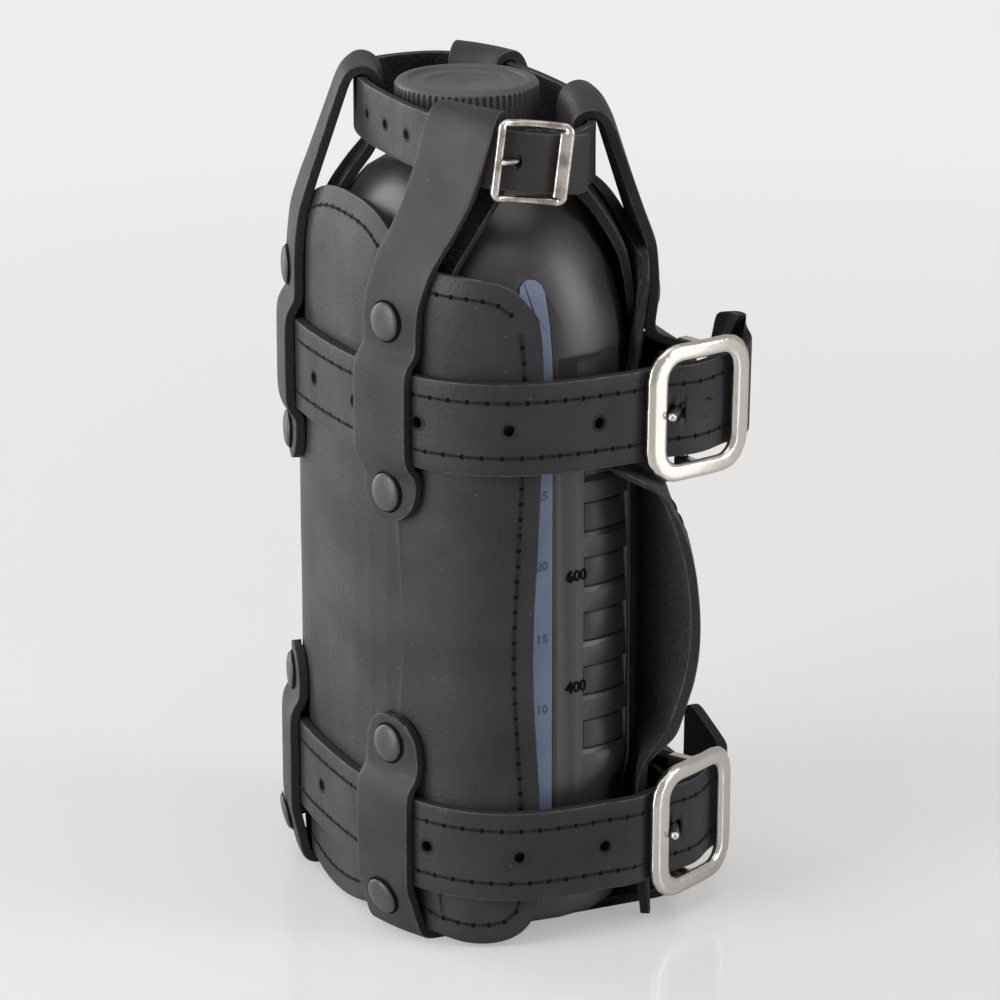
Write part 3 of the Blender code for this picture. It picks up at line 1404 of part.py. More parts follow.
def make_collar_buckle():
    """The small buckle lies on a straight chord of the collar's line."""
    before = COLLAR.at(COLLAR_BAR_ARC - 0.5 * SMALL.width)
    after = COLLAR.at(COLLAR_BAR_ARC + 0.5 * SMALL.width)
    heading = unit(after - before)
    bar = 0.5 * (before + after) - SMALL.under_bars * metres(heading[1], -heading[0])
    climb = (collar_top(after) - collar_top(before)) / np.linalg.norm(after - before)
    height = 0.5 * (collar_top(after) + collar_top(before)) - 0.5 * COLLAR_WIDTH
    degrees = math.degrees(math.atan2(heading[1], heading[0]))
    return Buckle(SMALL, bar, height, degrees, (climb * heading[0], climb * heading[1]))


def collar_plan(buckle):
    """The collar's line: its sewn loop, the lap under its own end, round the neck, to its tip."""
    size = buckle.size
    plan = []
    loop = size.loop_radius
    under = size.strap + CLEARANCE
    spread = size.strap + CLEARANCE + 0.5 * (size.strap + size.skived) - size.under_bars - loop
    for share in (1.0, 0.5, 0.0):
        plan.append(buckle.plan(share * 0.42 * size.width, -loop - share * spread))
    for angle in (240.0, 210.0, 180.0, 150.0, 120.0, 90.0):
        turn = math.radians(angle)
        plan.append(buckle.plan(loop * math.cos(turn), loop * math.sin(turn)))
    thickness = [size.skived] * len(plan)
    after = buckle.plan(0.5 * size.width, size.under_bars - under)
    plan.append(buckle.plan(0.2 * size.width, 0.5 * (loop + size.under_bars - under)))
    plan.append(after)
    thickness += [size.skived, size.strap]
    leans = [1.0] * len(plan)
    first = COLLAR_BAR_ARC + 0.5 * size.width
    last = COLLAR.length + COLLAR_BAR_ARC - 0.5 * size.width
    stations = COLLAR.stations(COLLAR_STATIONS)
    ring = [arc for arc in stations if arc > first + CUT_OVERRUN]
    ring += [COLLAR.length + arc for arc in stations if COLLAR.length + arc < last - CUT_OVERRUN]
    for arc in ring:
        plan.append(COLLAR.at(arc, -collar_inset(arc)))
        thickness.append(size.strap)
        leans.append(max(0.0, 1.0 - (arc - first) / COLLAR_MERGE, 1.0 - (last - arc) / COLLAR_MERGE))
    marks = np.linspace(-0.5 * size.width, 0.5 * size.width, 11)
    start = len(plan)
    plan += [buckle.plan(mark, size.strap_height(mark)) for mark in marks]
    leans += [1.0] * len(marks)
    for share in (0.3, 0.6, 0.85, 1.0):
        past = share * (COLLAR_TAIL - 0.5 * size.width)
        plan.append(COLLAR.at(first + past))
        leans.append(max(0.0, 1.0 - past / COLLAR_MERGE))
    thickness += [size.strap] * (len(plan) - len(thickness))
    return plan, thickness, leans, start


def make_collar(buckle):
    plan, thickness, leans, start = collar_plan(buckle)
    length = line_length(plan)
    centres = np.array([(point[0], point[1], collar_top(point) - 0.5 * COLLAR_WIDTH)
                        for point in plan])
    half = np.full(len(plan), 0.5 * COLLAR_WIDTH)
    half[-1] -= COLLAR_LEATHER
    collar = place("neck_collar", slab_mesh("neck_collar", ribbon_grid(centres, half, buckle, leans),
                                            thickness), leather("neck_collar"))
    used = length[start] + 0.5 * buckle.size.width + buckle.size.hole_along
    ends = [through_line(centres, length, used - count * COLLAR_HOLE_PITCH, COLLAR_LEATHER)
            for count in range(1, COLLAR_HOLE_COUNT + 1)]
    cut(collar, rods("collar_hole_cutter", ends, 0.5 * COLLAR_HOLE_DIAMETER, HOLE_SIDES))
    cut(collar, prong_hole_cutter("collar_prong_cutter", buckle))
    cut(collar, slot_cutter("collar_slot_cutter", buckle))
    return collar


def axis_frame(buckle):
    """Axes for a piece that turns on the buckle's bar: local Z lies along the bar."""
    return [tuple(buckle.along), tuple(np.cross(buckle.up, buckle.along)), tuple(buckle.up)]


def make_buckle_pieces(name, buckle):
    frame, extras = make_buckle(name + "_frame", buckle)
    prong, shaft = make_prong(name + "_prong", buckle)
    for piece in [frame, prong, shaft] + extras:
        shift_origin(piece, buckle.bar, axis_frame(buckle))
    return frame, prong


def settle():
    """Stand the part on the floor with its box centred, by moving one parent empty."""
    bpy.context.view_layer.update()
    graph = bpy.context.evaluated_depsgraph_get()
    low = np.full(3, np.inf)
    high = np.full(3, -np.inf)
    pieces = [piece for piece in bpy.data.objects if piece.type == "MESH"]
    for piece in pieces:
        if piece.hide_render:
            continue
        solid = piece.evaluated_get(graph)
        for vertex in solid.data.vertices:
            point = np.array(piece.matrix_world @ vertex.co)
            low = np.minimum(low, point)
            high = np.maximum(high, point)
    carrier = bpy.data.objects.new("carrier_centre", None)
    bpy.context.collection.objects.link(carrier)
    for piece in pieces:
        piece.parent = carrier
    centre = 0.5 * (low + high)
    carrier.location = (-centre[0], -centre[1], -low[2])
    print("settled", [round(float(value), 6) for value in carrier.location])


def main():
    for leftover in list(bpy.data.objects):
        bpy.data.objects.remove(leftover)
    bottle = make_bottle()
    make_stripe(bottle)
    make_cap()
    front = make_panel("front_panel", -1.0)
    back = make_panel("back_panel", 1.0)
    make_belt("upper_belt", UPPER_BUCKLE, UPPER_BELT_HEIGHT, UPPER_BELT_SLOPE)
    make_belt("lower_belt", LOWER_BUCKLE, LOWER_BELT_HEIGHT, LOWER_BELT_SLOPE)
    collar_buckle = make_collar_buckle()
    make_collar(collar_buckle)
    make_buckle_pieces("upper_buckle", UPPER_BUCKLE)
    make_buckle_pieces("lower_buckle", LOWER_BUCKLE)
    make_buckle_pieces("neck_buckle", collar_buckle)
    in_panel = PANEL_FIT + CLEARANCE
    in_leg = PANEL_FIT - CLEARANCE - 0.7 * STRAP_INNER_SKIVED
    for side, where, panel in ((-1.0, "front", front), (1.0, "back", back)):
        for sign, hand in ((-1.0, "left"), (1.0, "right")):
            rows = neck_strap_rows(sign, side)
            name = "neck_strap_%s_%s" % (where, hand)
            strap = place(name, slab_mesh(name, rows, strap_thickness(rows)), leather(name))
            rivets = RivetSet(name + "_rivet")
            rivets.add(rows, lower_rivet_height(side), side, in_panel)
            rivets.add(rows, STRAP_RIVET_HIGH, side, in_leg)
            rivets.make([strap, panel])
    for sign, hand in ((-1.0, "left"), (1.0, "right")):
        rows = base_strap_rows(sign)
        name = "base_strap_%s" % hand
        strap = place(name, slab_mesh(name, rows, LEATHER), leather(name))
        rivets = RivetSet(name + "_rivet")
        for side in (-1.0, 1.0):
            low, high = LOWER_LINE.span(sign * STRAP_PLACE, side)
            rivets.add(rows, BASE_RIVET_HIGH, side, in_panel)
            foot = BASE_BEND_RADIUS + 0.5 * LEATHER
            rivets.add(rows, foot + BASE_RIVET_SHARE * (low - foot), side, in_panel)
        rivets.make([strap, front, back])
    settle()


main()
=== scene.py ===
import math

import bmesh
import bpy
from mathutils import Matrix, Vector
from mathutils.bvhtree import BVHTree
from mathutils.kdtree import KDTree


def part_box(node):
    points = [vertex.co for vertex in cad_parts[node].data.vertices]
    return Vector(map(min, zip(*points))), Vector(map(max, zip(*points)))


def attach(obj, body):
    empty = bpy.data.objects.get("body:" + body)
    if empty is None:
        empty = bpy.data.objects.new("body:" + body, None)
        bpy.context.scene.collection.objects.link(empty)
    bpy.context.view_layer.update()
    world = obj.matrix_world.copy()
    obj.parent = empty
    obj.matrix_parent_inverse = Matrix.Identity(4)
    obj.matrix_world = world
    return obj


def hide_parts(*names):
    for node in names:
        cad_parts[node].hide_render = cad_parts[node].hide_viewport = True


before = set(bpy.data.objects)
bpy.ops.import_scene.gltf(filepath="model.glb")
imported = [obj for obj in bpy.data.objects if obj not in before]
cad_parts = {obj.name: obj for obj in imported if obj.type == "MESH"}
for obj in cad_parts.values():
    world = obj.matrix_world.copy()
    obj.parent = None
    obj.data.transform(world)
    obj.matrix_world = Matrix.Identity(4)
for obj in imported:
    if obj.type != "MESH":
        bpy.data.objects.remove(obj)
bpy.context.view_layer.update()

MM = 0.001

CAP_LOW, CAP_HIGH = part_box("bottle_cap")
BOTTLE_AXIS = Vector(((CAP_LOW.x + CAP_HIGH.x) / 2, (CAP_LOW.y + CAP_HIGH.y) / 2, 0.0))
HEART = BOTTLE_AXIS + Vector((0.0, 0.0, 110 * MM))
UPRIGHT = Vector((0.0, 0.0, 1.0))
# A place well clear of the object, to look back at it from.
OUTSIDE = 120 * MM

PANELS = ["front_panel", "back_panel"]
BELTS = ["upper_belt", "lower_belt"]
NECK_STRAPS = [f"neck_strap_{place}" for place in ("front_left", "front_right", "back_left", "back_right")]
BASE_STRAPS = ["base_strap_left", "base_strap_right"]


def put(name, data):
    """A new object in the scene, made of that mesh, text, lamp or camera."""
    made = bpy.data.objects.new(name, data)
    bpy.context.scene.collection.objects.link(made)
    return made


# Camera.

CAMERA_PLACE = BOTTLE_AXIS + Vector((1154.2, -538.5, 509.3)) * MM
CAMERA_RIGHT = Vector((0.4292, 0.9032, 0.0))
CAMERA_UP = Vector((-0.2707, 0.1286, 0.9540))
CAMERA_AHEAD = Vector((-0.8617, 0.4095, -0.2997))


def set_up_camera():
    """A long lens, a little above the shoulder, on the corner between the broad front and the open side."""
    data = bpy.data.cameras.new("camera")
    data.sensor_fit = "HORIZONTAL"
    data.sensor_width = 36.0
    data.lens = 174.375
    data.clip_start, data.clip_end = 0.05, 50.0
    camera = put("camera", data)
    axes = Matrix((CAMERA_RIGHT, CAMERA_UP, -CAMERA_AHEAD)).transposed()
    camera.matrix_world = Matrix.Translation(CAMERA_PLACE) @ axes.to_4x4()
    bpy.context.scene.camera = camera


set_up_camera()


# Colours and nodes.

def linear(hex_code):
    """An sRGB hex colour as the linear colour that the shaders take."""
    parts = [int(hex_code[i:i + 2], 16) / 255 for i in (1, 3, 5)]
    return tuple(p / 12.92 if p <= 0.04045 else ((p + 0.055) / 1.055) ** 2.4 for p in parts) + (1.0,)


def repeats(size_in_mm):
    """How many times a pattern of that size fits in a metre, which is what a texture's scale asks for."""
    return 1000.0 / size_in_mm


def add(material, kind, inputs=None, **settings):
    """One node with its settings. An input is a value, or another node's output, which is linked."""
    node = material.node_tree.nodes.new(kind)
    for name, value in settings.items():
        setattr(node, name, value)
    for name, value in (inputs or {}).items():
        if isinstance(value, bpy.types.NodeSocket):
            material.node_tree.links.new(value, node.inputs[name])
        else:
            node.inputs[name].default_value = value
    return node


def blank(name):
    """A new material with no nodes, and the place on the piece that its patterns are drawn by."""
    material = bpy.data.materials.new(name)
    material.use_nodes = True
    material.node_tree.nodes.clear()
    return material, add(material, "ShaderNodeTexCoord").outputs["Object"]


def mottled(name, pattern, tones, even, contrast=None, gloss=None, relief=None, peel=None,
            kind="ShaderNodeTexNoise", reading="Fac", **settings):
    """A material with one pattern, which carries the colour from the first tone to the second as it runs
    through the two values of contrast. Gloss gives what is read and the roughness it becomes, relief gives
    the bump's strength and depth, and even holds what is the same all over. Peel is a second pattern, which
    then makes the relief."""
    m, place = blank(name)
    drawn = add(m, kind, {"Vector": place, **pattern}, **settings).outputs[reading]
    shade = drawn
    if contrast:
        low, high = contrast
        read = add(m, "ShaderNodeMapRange", {"Value": drawn, "From Min": low, "From Max": high})
        shade = read.outputs["Result"]
    tone = add(m, "ShaderNodeMix", {0: shade, 6: linear(tones[0]), 7: linear(tones[1])}, data_type="RGBA")
    sockets = {"Base Color": tone.outputs[2], **even}
    if gloss:
        read = add(m, "ShaderNodeMapRange", {"Value": drawn, "From Min": gloss[0], "From Max": gloss[1],
                                             "To Min": gloss[2], "To Max": gloss[3]})
        sockets["Roughness"] = read.outputs["Result"]
    if relief:
        height = add(m, kind, {"Vector": place, **peel}).outputs[reading] if peel else drawn
        bump = add(m, "ShaderNodeBump", {"Height": height, "Strength": relief[0], "Distance": relief[1]})
        sockets["Normal"] = bump.outputs["Normal"]
    shader = add(m, "ShaderNodeBsdfPrincipled", sockets)
    add(m, "ShaderNodeOutputMaterial", {"Surface": shader.outputs["BSDF"]})
    return m


# The leather's four faces.

def waxed_cowhide():
    """Vegetable tanned cowhide, dyed black in the drum and rubbed with wax: matt charcoal with soft clouds,
    a fine pebble that only shows where light grazes it, and a few pale specks in the pores."""
    m, place = blank("waxed_cowhide")
    clouds = add(m, "ShaderNodeTexNoise", {"Vector": place, "Scale": repeats(22), "Detail": 4.0,
                                           "Roughness": 0.55})
    depth = add(m, "ShaderNodeMapRange", {"Value": clouds.outputs["Fac"], "From Min": 0.32,
                                          "From Max": 0.70})
    dye = add(m, "ShaderNodeMix", {0: depth.outputs["Result"], 6: linear("#242225"), 7: linear("#343135")},
              data_type="RGBA")
    # a pore is 0.15 mm wide, drawn at 0.5 mm so that it shows
    pores = add(m, "ShaderNodeTexVoronoi", {"Vector": place, "Scale": repeats(1.7)}, feature="F1")
    specks = add(m, "ShaderNodeMapRange", {"Value": pores.outputs["Distance"], "From Min": 0.16,
                                           "From Max": 0.08})
    lot = add(m, "ShaderNodeMath", {0: pores.outputs["Color"], 1: 0.86}, operation="GREATER_THAN")
    dust = add(m, "ShaderNodeMath", {0: specks.outputs["Result"], 1: lot.outputs["Value"]},
               operation="MULTIPLY")
    face = add(m, "ShaderNodeMix", {0: dust.outputs["Value"], 6: dye.outputs[2], 7: linear("#625f5e")},
               data_type="RGBA")
    pebble = add(m, "ShaderNodeTexVoronoi", {"Vector": place, "Scale": repeats(0.8)}, feature="SMOOTH_F1")
    creases = add(m, "ShaderNodeTexNoise", {"Vector": place, "Scale": repeats(5), "Detail": 5.0,
                                            "Roughness": 0.6})
    relief = add(m, "ShaderNodeMath", {0: creases.outputs["Fac"], 1: 0.8, 2: pebble.outputs["Distance"]},
                 operation="MULTIPLY_ADD")
    bump = add(m, "ShaderNodeBump", {"Height": relief.outputs["Value"], "Strength": 0.30,
                                     "Distance": 0.3 * MM})
    gloss = add(m, "ShaderNodeMapRange", {"Value": clouds.outputs["Fac"], "From Min": 0.3, "From Max": 0.7,
                                          "To Min": 0.60, "To Max": 0.50})
    shader = add(m, "ShaderNodeBsdfPrincipled", {
        "Base Color": face.outputs[2], "Roughness": gloss.outputs["Result"], "IOR": 1.5,
        "Specular IOR Level": 0.34, "Normal": bump.outputs["Normal"]})
    add(m, "ShaderNodeOutputMaterial", {"Surface": shader.outputs["BSDF"]})
    return m


def flesh_side():
    """The back of the same hide, split and left raw: suede with pale grey loose fibres, its ground darkened
    to near black as painted shade.
    """
    m, place = blank("split_flesh_with_painted_shade")
    # a fibre bundle is 0.2 mm thick, drawn at 0.9 mm so that it shows
    fibres = add(m, "ShaderNodeTexNoise", {"Vector": place, "Scale": repeats(0.9), "Detail": 3.0,
                                           "Roughness": 0.65, "Distortion": 0.8})
    nap = add(m, "ShaderNodeTexNoise", {"Vector": place, "Scale": repeats(9), "Detail": 3.0})
    flecks = add(m, "ShaderNodeMapRange", {"Value": fibres.outputs["Fac"], "From Min": 0.44,
                                           "From Max": 0.74})
    # the near black ground is painted shade, for the flap's inside and the straps' undersides
    tone = add(m, "ShaderNodeMix", {0: nap.outputs["Fac"], 6: linear("#0c0a09"), 7: linear("#161412")},
               data_type="RGBA")
    face = add(m, "ShaderNodeMix", {0: flecks.outputs["Result"], 6: tone.outputs[2], 7: linear("#3f3c37")},
               data_type="RGBA")
    bump = add(m, "ShaderNodeBump", {"Height": fibres.outputs["Fac"], "Strength": 0.7,
                                     "Distance": 0.5 * MM})
    shader = add(m, "ShaderNodeBsdfPrincipled", {
        "Base Color": face.outputs[2], "Roughness": 0.95, "IOR": 1.5, "Specular IOR Level": 0.15,
        "Sheen Weight": 0.08, "Sheen Roughness": 0.6, "Normal": bump.outputs["Normal"]})
    add(m, "ShaderNodeOutputMaterial", {"Surface": shader.outputs["BSDF"]})
    return m


def cut_edge():
    """The cut edge, stained after cutting: dark, with the layers of fibre showing along it."""
    fibres = {"Scale": repeats(0.8), "Detail": 3.0}
    return mottled("stained_cut_edge", fibres, ("#141415", "#3a3838"), relief=(0.5, 0.3 * MM),
                   even={"Roughness": 0.8, "IOR": 1.5, "Specular IOR Level": 0.25})


def rubbed_arris():
    """The corner between face and cut edge, where handling rubs the dye thin, and painted paler as a
    painted highlight: a paler broken line.
    """
    rubs = {"Scale": repeats(3.5), "Detail": 4.0, "Roughness": 0.7}
    return mottled("rubbed_arris", rubs, ("#2c2a2b", "#555251"), contrast=(0.38, 0.66),
                   even={"Roughness": 0.52, "IOR": 1.5, "Specular IOR Level": 0.45})


def waxed_thread():
    """Three ply polyester thread, black and waxed: a tight twist with a dull shine."""
    # a ply turns every 0.9 mm, drawn at 3.6 mm so that it shows: this texture has 1.6 waves to a repeat
    plies = {"Scale": repeats(5.67), "Distortion": 1.5}
    return mottled("waxed_thread", plies, ("#0b0b0c", "#1c1c1e"), relief=(0.5, 0.1 * MM),
                   even={"Roughness": 0.8, "IOR": 1.5, "Specular IOR Level": 0.25},
                   kind="ShaderNodeTexWave", bands_direction="DIAGONAL")


def pierced_leather():
    """Near black and rough: painted shade in the needle holes and the dents round the rivets, and the
    numbers' colour.
    """
    return mottled("pierced_leather", {"Scale": repeats(0.5)}, ("#060606", "#141414"),
                   even={"Roughness": 0.9, "IOR": 1.5, "Specular IOR Level": 0.1})


# Metal and plastic.

def satin_nickel():
    """Zinc die casting, tumbled and nickel plated: satin, slightly warm, with faint tumbling marks."""
    tumbled = {"Scale": repeats(2.5), "Detail": 5.0, "Roughness": 0.7}
    return mottled("satin_nickel", tumbled, ("#c9c4bf", "#d6d2cd"), even={"Metallic": 1.0},
                   gloss=(0.3, 0.7, 0.20, 0.28), relief=(0.03, 0.2 * MM))


def antique_nickel():
    """The same casting oxidised and wiped back: brown grey in patches, bright where it was rubbed."""
    patches = {"Scale": repeats(4.0), "Detail": 3.0, "Roughness": 0.5}
    return mottled("antique_nickel", patches, ("#8f8780", "#d2ccc6"), even={"Metallic": 1.0},
                   contrast=(0.36, 0.60), gloss=(0.35, 0.65, 0.42, 0.24), relief=(0.05, 0.2 * MM))


def lacquered_brass():
    """Double cap rivet, brass under baked black lacquer: charcoal, smooth, with a soft shine."""
    film = {"Scale": repeats(2.2), "Detail": 4.0}
    return mottled("lacquered_brass", film, ("#313032", "#444345"), even={"IOR": 1.5},
                   gloss=(0.3, 0.7, 0.36, 0.46))


def black_hdpe():
    """High density polyethylene, blow moulded: near black, with a soft sheen and a slight orange peel."""
    flow = {"Scale": repeats(25), "Detail": 2.0}
    return mottled("black_hdpe", flow, ("#2e2a2b", "#3b3738"), even={"IOR": 1.54},
                   gloss=(0.3, 0.7, 0.34, 0.44), relief=(0.10, 0.3 * MM),
                   peel={"Scale": repeats(1.8), "Detail": 2.0})


def oily_corner():
    """Near black painted shade in the ditch round each window floor: the same plastic, with a sharper
    shine.
    """
    film = {"Scale": repeats(3.0), "Detail": 2.0}
    return mottled("oily_corner", film, ("#0a0909", "#171516"),
                   even={"Roughness": 0.4, "IOR": 1.47, "Specular IOR Level": 0.3})


def milky_hdpe():
    """The sight strip, the same plastic with no black in it: milky, blue grey from the dark inside."""
    milk = {"Scale": repeats(12), "Detail": 3.0}
    return mottled("milky_hdpe", milk, ("#5a6680", "#78849f"), even={
        "Roughness": 0.36, "IOR": 1.54, "Subsurface Weight": 0.3,
        "Subsurface Radius": (2 * MM, 2 * MM, 3 * MM), "Subsurface Scale": 1.0})


def rolled_ink():
    """Ink rolled on the raised marks of the strip: a deeper grey blue, a little worn."""
    worn = {"Scale": repeats(1.0), "Detail": 2.0}
    return mottled("rolled_ink", worn, ("#3d4558", "#4e5770"), even={"Roughness": 0.5})


def dark_polypropylene():
    """Polypropylene, injection moulded in a spark eroded tool: dark grey with a fine even grain."""
    # spark grain is 0.1 mm, drawn at 0.45 mm so that it shows
    grain = {"Scale": repeats(0.45), "Detail": 2.0}
    return mottled("dark_polypropylene", grain, ("#403d3e", "#545051"), relief=(0.25, 0.1 * MM),
                   even={"Roughness": 0.48, "IOR": 1.49})


def foamed_liner():
    """Foamed polyethylene, die cut: off white, dull, with the foam's small cells."""
    return mottled("foamed_liner", {"Scale": repeats(0.6)}, ("#d8d6cf", "#eceae4"), even={"Roughness": 0.8},
                   kind="ShaderNodeTexVoronoi", reading="Distance")


COWHIDE = waxed_cowhide()
FLESH_SIDE_WITH_PAINTED_SHADE = flesh_side()
CUT_EDGE = cut_edge()
RUBBED_AND_HIGHLIT_ARRIS = rubbed_arris()
THREAD = waxed_thread()
SHADE_AND_NUMBER_BLACK = pierced_leather()
SATIN_NICKEL = satin_nickel()
ANTIQUE_NICKEL = antique_nickel()
LACQUERED_BRASS = lacquered_brass()
BLACK_HDPE = black_hdpe()
PAINTED_DITCH_SHADE = oily_corner()
MILKY_HDPE = milky_hdpe()
ROLLED_INK = rolled_ink()
DARK_POLYPROPYLENE = dark_polypropylene()
FOAMED_LINER = foamed_liner()


# Meshes.

def joined(node):
    """A copy of the node's faces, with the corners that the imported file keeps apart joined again."""
    bm = bmesh.new()
    bm.from_mesh(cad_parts[node].data)
    bmesh.ops.remove_doubles(bm, verts=bm.verts, dist=0.001 * MM)
    bm.normal_update()
    return bm


def settle(name, bm, materials, smooth_below=40.0):
    """Makes the object from the mesh, smooth where its faces meet at less than that angle."""
    mesh = bpy.data.meshes.new(name)
    bm.verts.index_update()
    mesh.from_pydata([v.co[:] for v in bm.verts], [], [[v.index for v in f.verts] for f in bm.faces])
    for material in materials:
        mesh.materials.append(material)
    mesh.polygons.foreach_set("material_index", [f.material_index for f in bm.faces])
    mesh.shade_smooth()
    mesh.set_sharp_from_angle(angle=math.radians(smooth_below))
    bm.free()
    return put(name, mesh)


def stand_for(piece, node, body="carrier"):
    """The piece takes the node's place on that body, and the node is hidden."""
    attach(piece, body)
    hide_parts(node)


def ring(bm, middle, across, along, radius, sides):
    """A closed round of points."""
    turns = [2 * math.pi * i / sides for i in range(sides)]
    return [bm.verts.new(middle + across * (radius * math.cos(t)) + along * (radius * math.sin(t)))
            for t in turns]


def bridge(bm, low, high, material_index=0):
    """The band of faces between two rings, either of which may be a single point."""
    sides = max(len(low), len(high))
    for i in range(sides):
        j = (i + 1) % sides
        corners = [low[i % len(low)], low[j % len(low)], high[j % len(high)], high[i % len(high)]]
        corners = [c for n, c in enumerate(corners) if c not in corners[:n]]
        if len(corners) > 2:
            bm.faces.new(corners).material_index = material_index


def lathe(bm, profile, sides, centre, axis, material_index=0, closed=False):
    """Turns a profile of (radius, height) points round an axis. A radius of zero closes the end, and a
    closed profile runs back from its last point to its first."""
    across = axis.orthogonal().normalized()
    along = axis.cross(across).normalized()
    rings = []
    for radius, height in profile:
        middle = centre + axis * height
        if radius > 0:
            rings.append(ring(bm, middle, across, along, radius, sides))
        else:
            rings.append([bm.verts.new(middle)])
    for low, high in zip(rings, rings[1:] + (rings[:1] if closed else [])):
        bridge(bm, low, high, material_index)


# Leather.

GRAIN, FLESH, EDGE, ARRIS = range(4)
LEATHER_FACES = [COWHIDE, FLESH_SIDE_WITH_PAINTED_SHADE, CUT_EDGE, RUBBED_AND_HIGHLIT_ARRIS]
THICKEST_LEATHER = 6.5 * MM
SHARPEST_FOLD = math.radians(60)
SMALLEST_SIDE = 6 * MM * MM
PANEL_ARRIS = 0.35 * MM
STRAP_ARRIS = 0.3 * MM

# How far each edge is moved, in millimetres, at heights in millimetres.
FRONT_EDGE_BACK = {0: 6.8, 8: 6.8, 42: 5.6, 60: 3.6, 85: 2.0, 108: 3.0, 130: 5.6, 165: 6.4, 200: 6.0}
BACK_EDGE_BACK = {128: 0.0, 148: 14.0, 165: 15.0, 176: 12.0, 190: 7.0, 200: 5.0}
FLAP_OUT = {0: 2.0, 9: 1.5, 20: 0.0, 44: 0.0, 57: 6.5, 70: 4.5, 90: 2.6, 110: 3.2, 122: 4.0, 131: 0.0}
# The panels' distance from the bottle's axis at those edges, in millimetres.
FRONT_EDGE_RADIUS = 50.0
BACK_EDGE_RADIUS = 46.0

TAIL_FOOT = 159.8 * MM
TAIL_TWIST = math.radians(-52)


def mark_sides(bm):
    """Sorts the faces of a hide: where it is thin under a face that is one of its two sides, and the side
    that looks away from the bottle is the grain. The rest is cut edge."""
    tree = BVHTree.FromBMesh(bm)
    for face in bm.faces:
        start = face.calc_center_median() - face.normal * 0.002 * MM
        depth = tree.ray_cast(start, -face.normal)[3]
        face.material_index = EDGE if depth is None or depth > THICKEST_LEATHER else GRAIN
    bm.faces.ensure_lookup_table()
    waiting = {f.index for f in bm.faces if f.material_index == GRAIN}
    for first in sorted(waiting):
        if first not in waiting:
            continue
        waiting.remove(first)
        island, stack = [], [bm.faces[first]]
        while stack:
            face = stack.pop()
            island.append(face)
            for edge in face.edges:
                if len(edge.link_faces) != 2 or edge.calc_face_angle() > SHARPEST_FOLD:
                    continue
                for other in edge.link_faces:
                    if other.index in waiting:
                        waiting.remove(other.index)
                        stack.append(other)
        area = sum(f.calc_area() for f in island)
        outward = sum(f.calc_area() * f.normal.dot((f.calc_center_median() - HEART).normalized())
                      for f in island)
        for face in island:
            face.material_index = EDGE if area < SMALLEST_SIDE else GRAIN if outward > 0 else FLESH


def outlines(bm, side):
    """The closed lines round one side of the hide, with the hide on the left hand."""
    onward = {}
    for face in bm.faces:
        if face.material_index != side:
            continue
        for loop in face.loops:
            if any(other.material_index != side for other in loop.edge.link_faces):
                onward[loop.vert.index] = loop.link_loop_next.vert.index
    bm.verts.ensure_lookup_table()
    lines = []
    while onward:
        start = min(onward)
        line, here = [], start
        while here in onward:
            line.append(bm.verts[here].co.copy())
            here = onward.pop(here)
        lines.append(line)
    return lines


def line_length(line):
    """The way round a closed line."""
    return sum((b - a).length for a, b in zip(line, line[1:] + line[:1]))


def side_surface(bm, side):
    """A tree of one side of the hide, to set things on it."""
    faces = [[v.index for v in f.verts] for f in bm.faces if f.material_index == side]
    return BVHTree.FromPolygons([v.co[:] for v in bm.verts], faces)


def round_arrises(bm, radius):
    """Rounds the corner between each side of the hide and its cut edge."""
    arrises = []
    for edge in bm.edges:
        if len(edge.link_faces) == 2:
            a, b = (f.material_index for f in edge.link_faces)
            if (a == EDGE) != (b == EDGE) and edge.calc_face_angle() > math.radians(50):
                arrises.append(edge)
    bmesh.ops.bevel(bm, geom=arrises, offset=radius, offset_type="OFFSET", segments=2, profile=0.5,
                    affect="EDGES", clamp_overlap=False, material=ARRIS)


def between(value, table):
    """Reads a table of amounts at a place, on an even curve through its entries."""
    places, amounts = list(table), list(table.values())
    if value <= places[0]:
        return amounts[0]
    if value >= places[-1]:
        return amounts[-1]
    last = len(places) - 1
    i = max(k for k in range(last) if places[k] <= value)
    gap = places[i + 1] - places[i]
    slope = [0.0 if k in (0, last) else (amounts[k + 1] - amounts[k - 1]) / (places[k + 1] - places[k - 1])
             for k in (i, i + 1)]
    t = (value - places[i]) / gap
    return ((2 * t ** 3 - 3 * t ** 2 + 1) * amounts[i] + (t ** 3 - 2 * t ** 2 + t) * gap * slope[0]
            + (3 * t ** 2 - 2 * t ** 3) * amounts[i + 1] + (t ** 3 - t ** 2) * gap * slope[1])


def eased(value, start, end):
    """0 at the start and 1 at the end, with no corner at either."""
    share = min(max((value - start) / (end - start), 0.0), 1.0)
    return share * share * (3.0 - 2.0 * share)


def bearing(point):
    """The angle round the bottle, from the open side at 0, with the broad front at -90 degrees."""
    return math.atan2(point.y - BOTTLE_AXIS.y, point.x - BOTTLE_AXIS.x)


def recut(bm, turned):
    """Cuts a panel's open edge back along the panel's own surface: each point goes to another bearing."""
    sides = {side: side_surface(bm, side) for side in (GRAIN, FLESH)}
    places = {}
    for vert in bm.verts:
        found = [f.material_index for f in vert.link_faces if f.material_index != EDGE]
        if not found:
            continue
        goal = turned(bearing(vert.co), vert.co.z)
        if abs(goal - bearing(vert.co)) < 1e-4:
            continue
        out = Vector((math.cos(goal), math.sin(goal), 0.0))
        axis = Vector((BOTTLE_AXIS.x, BOTTLE_AXIS.y, vert.co.z))
        if found[0] == GRAIN:
            hit = sides[GRAIN].ray_cast(axis + out * OUTSIDE, -out)[0]
        else:
            hit = sides[FLESH].ray_cast(axis, out)[0]
        radius = math.hypot(vert.co.x - BOTTLE_AXIS.x, vert.co.y - BOTTLE_AXIS.y)
        places[vert] = axis + out * radius if hit is None else hit
    for vert, place in places.items():
        vert.co = place


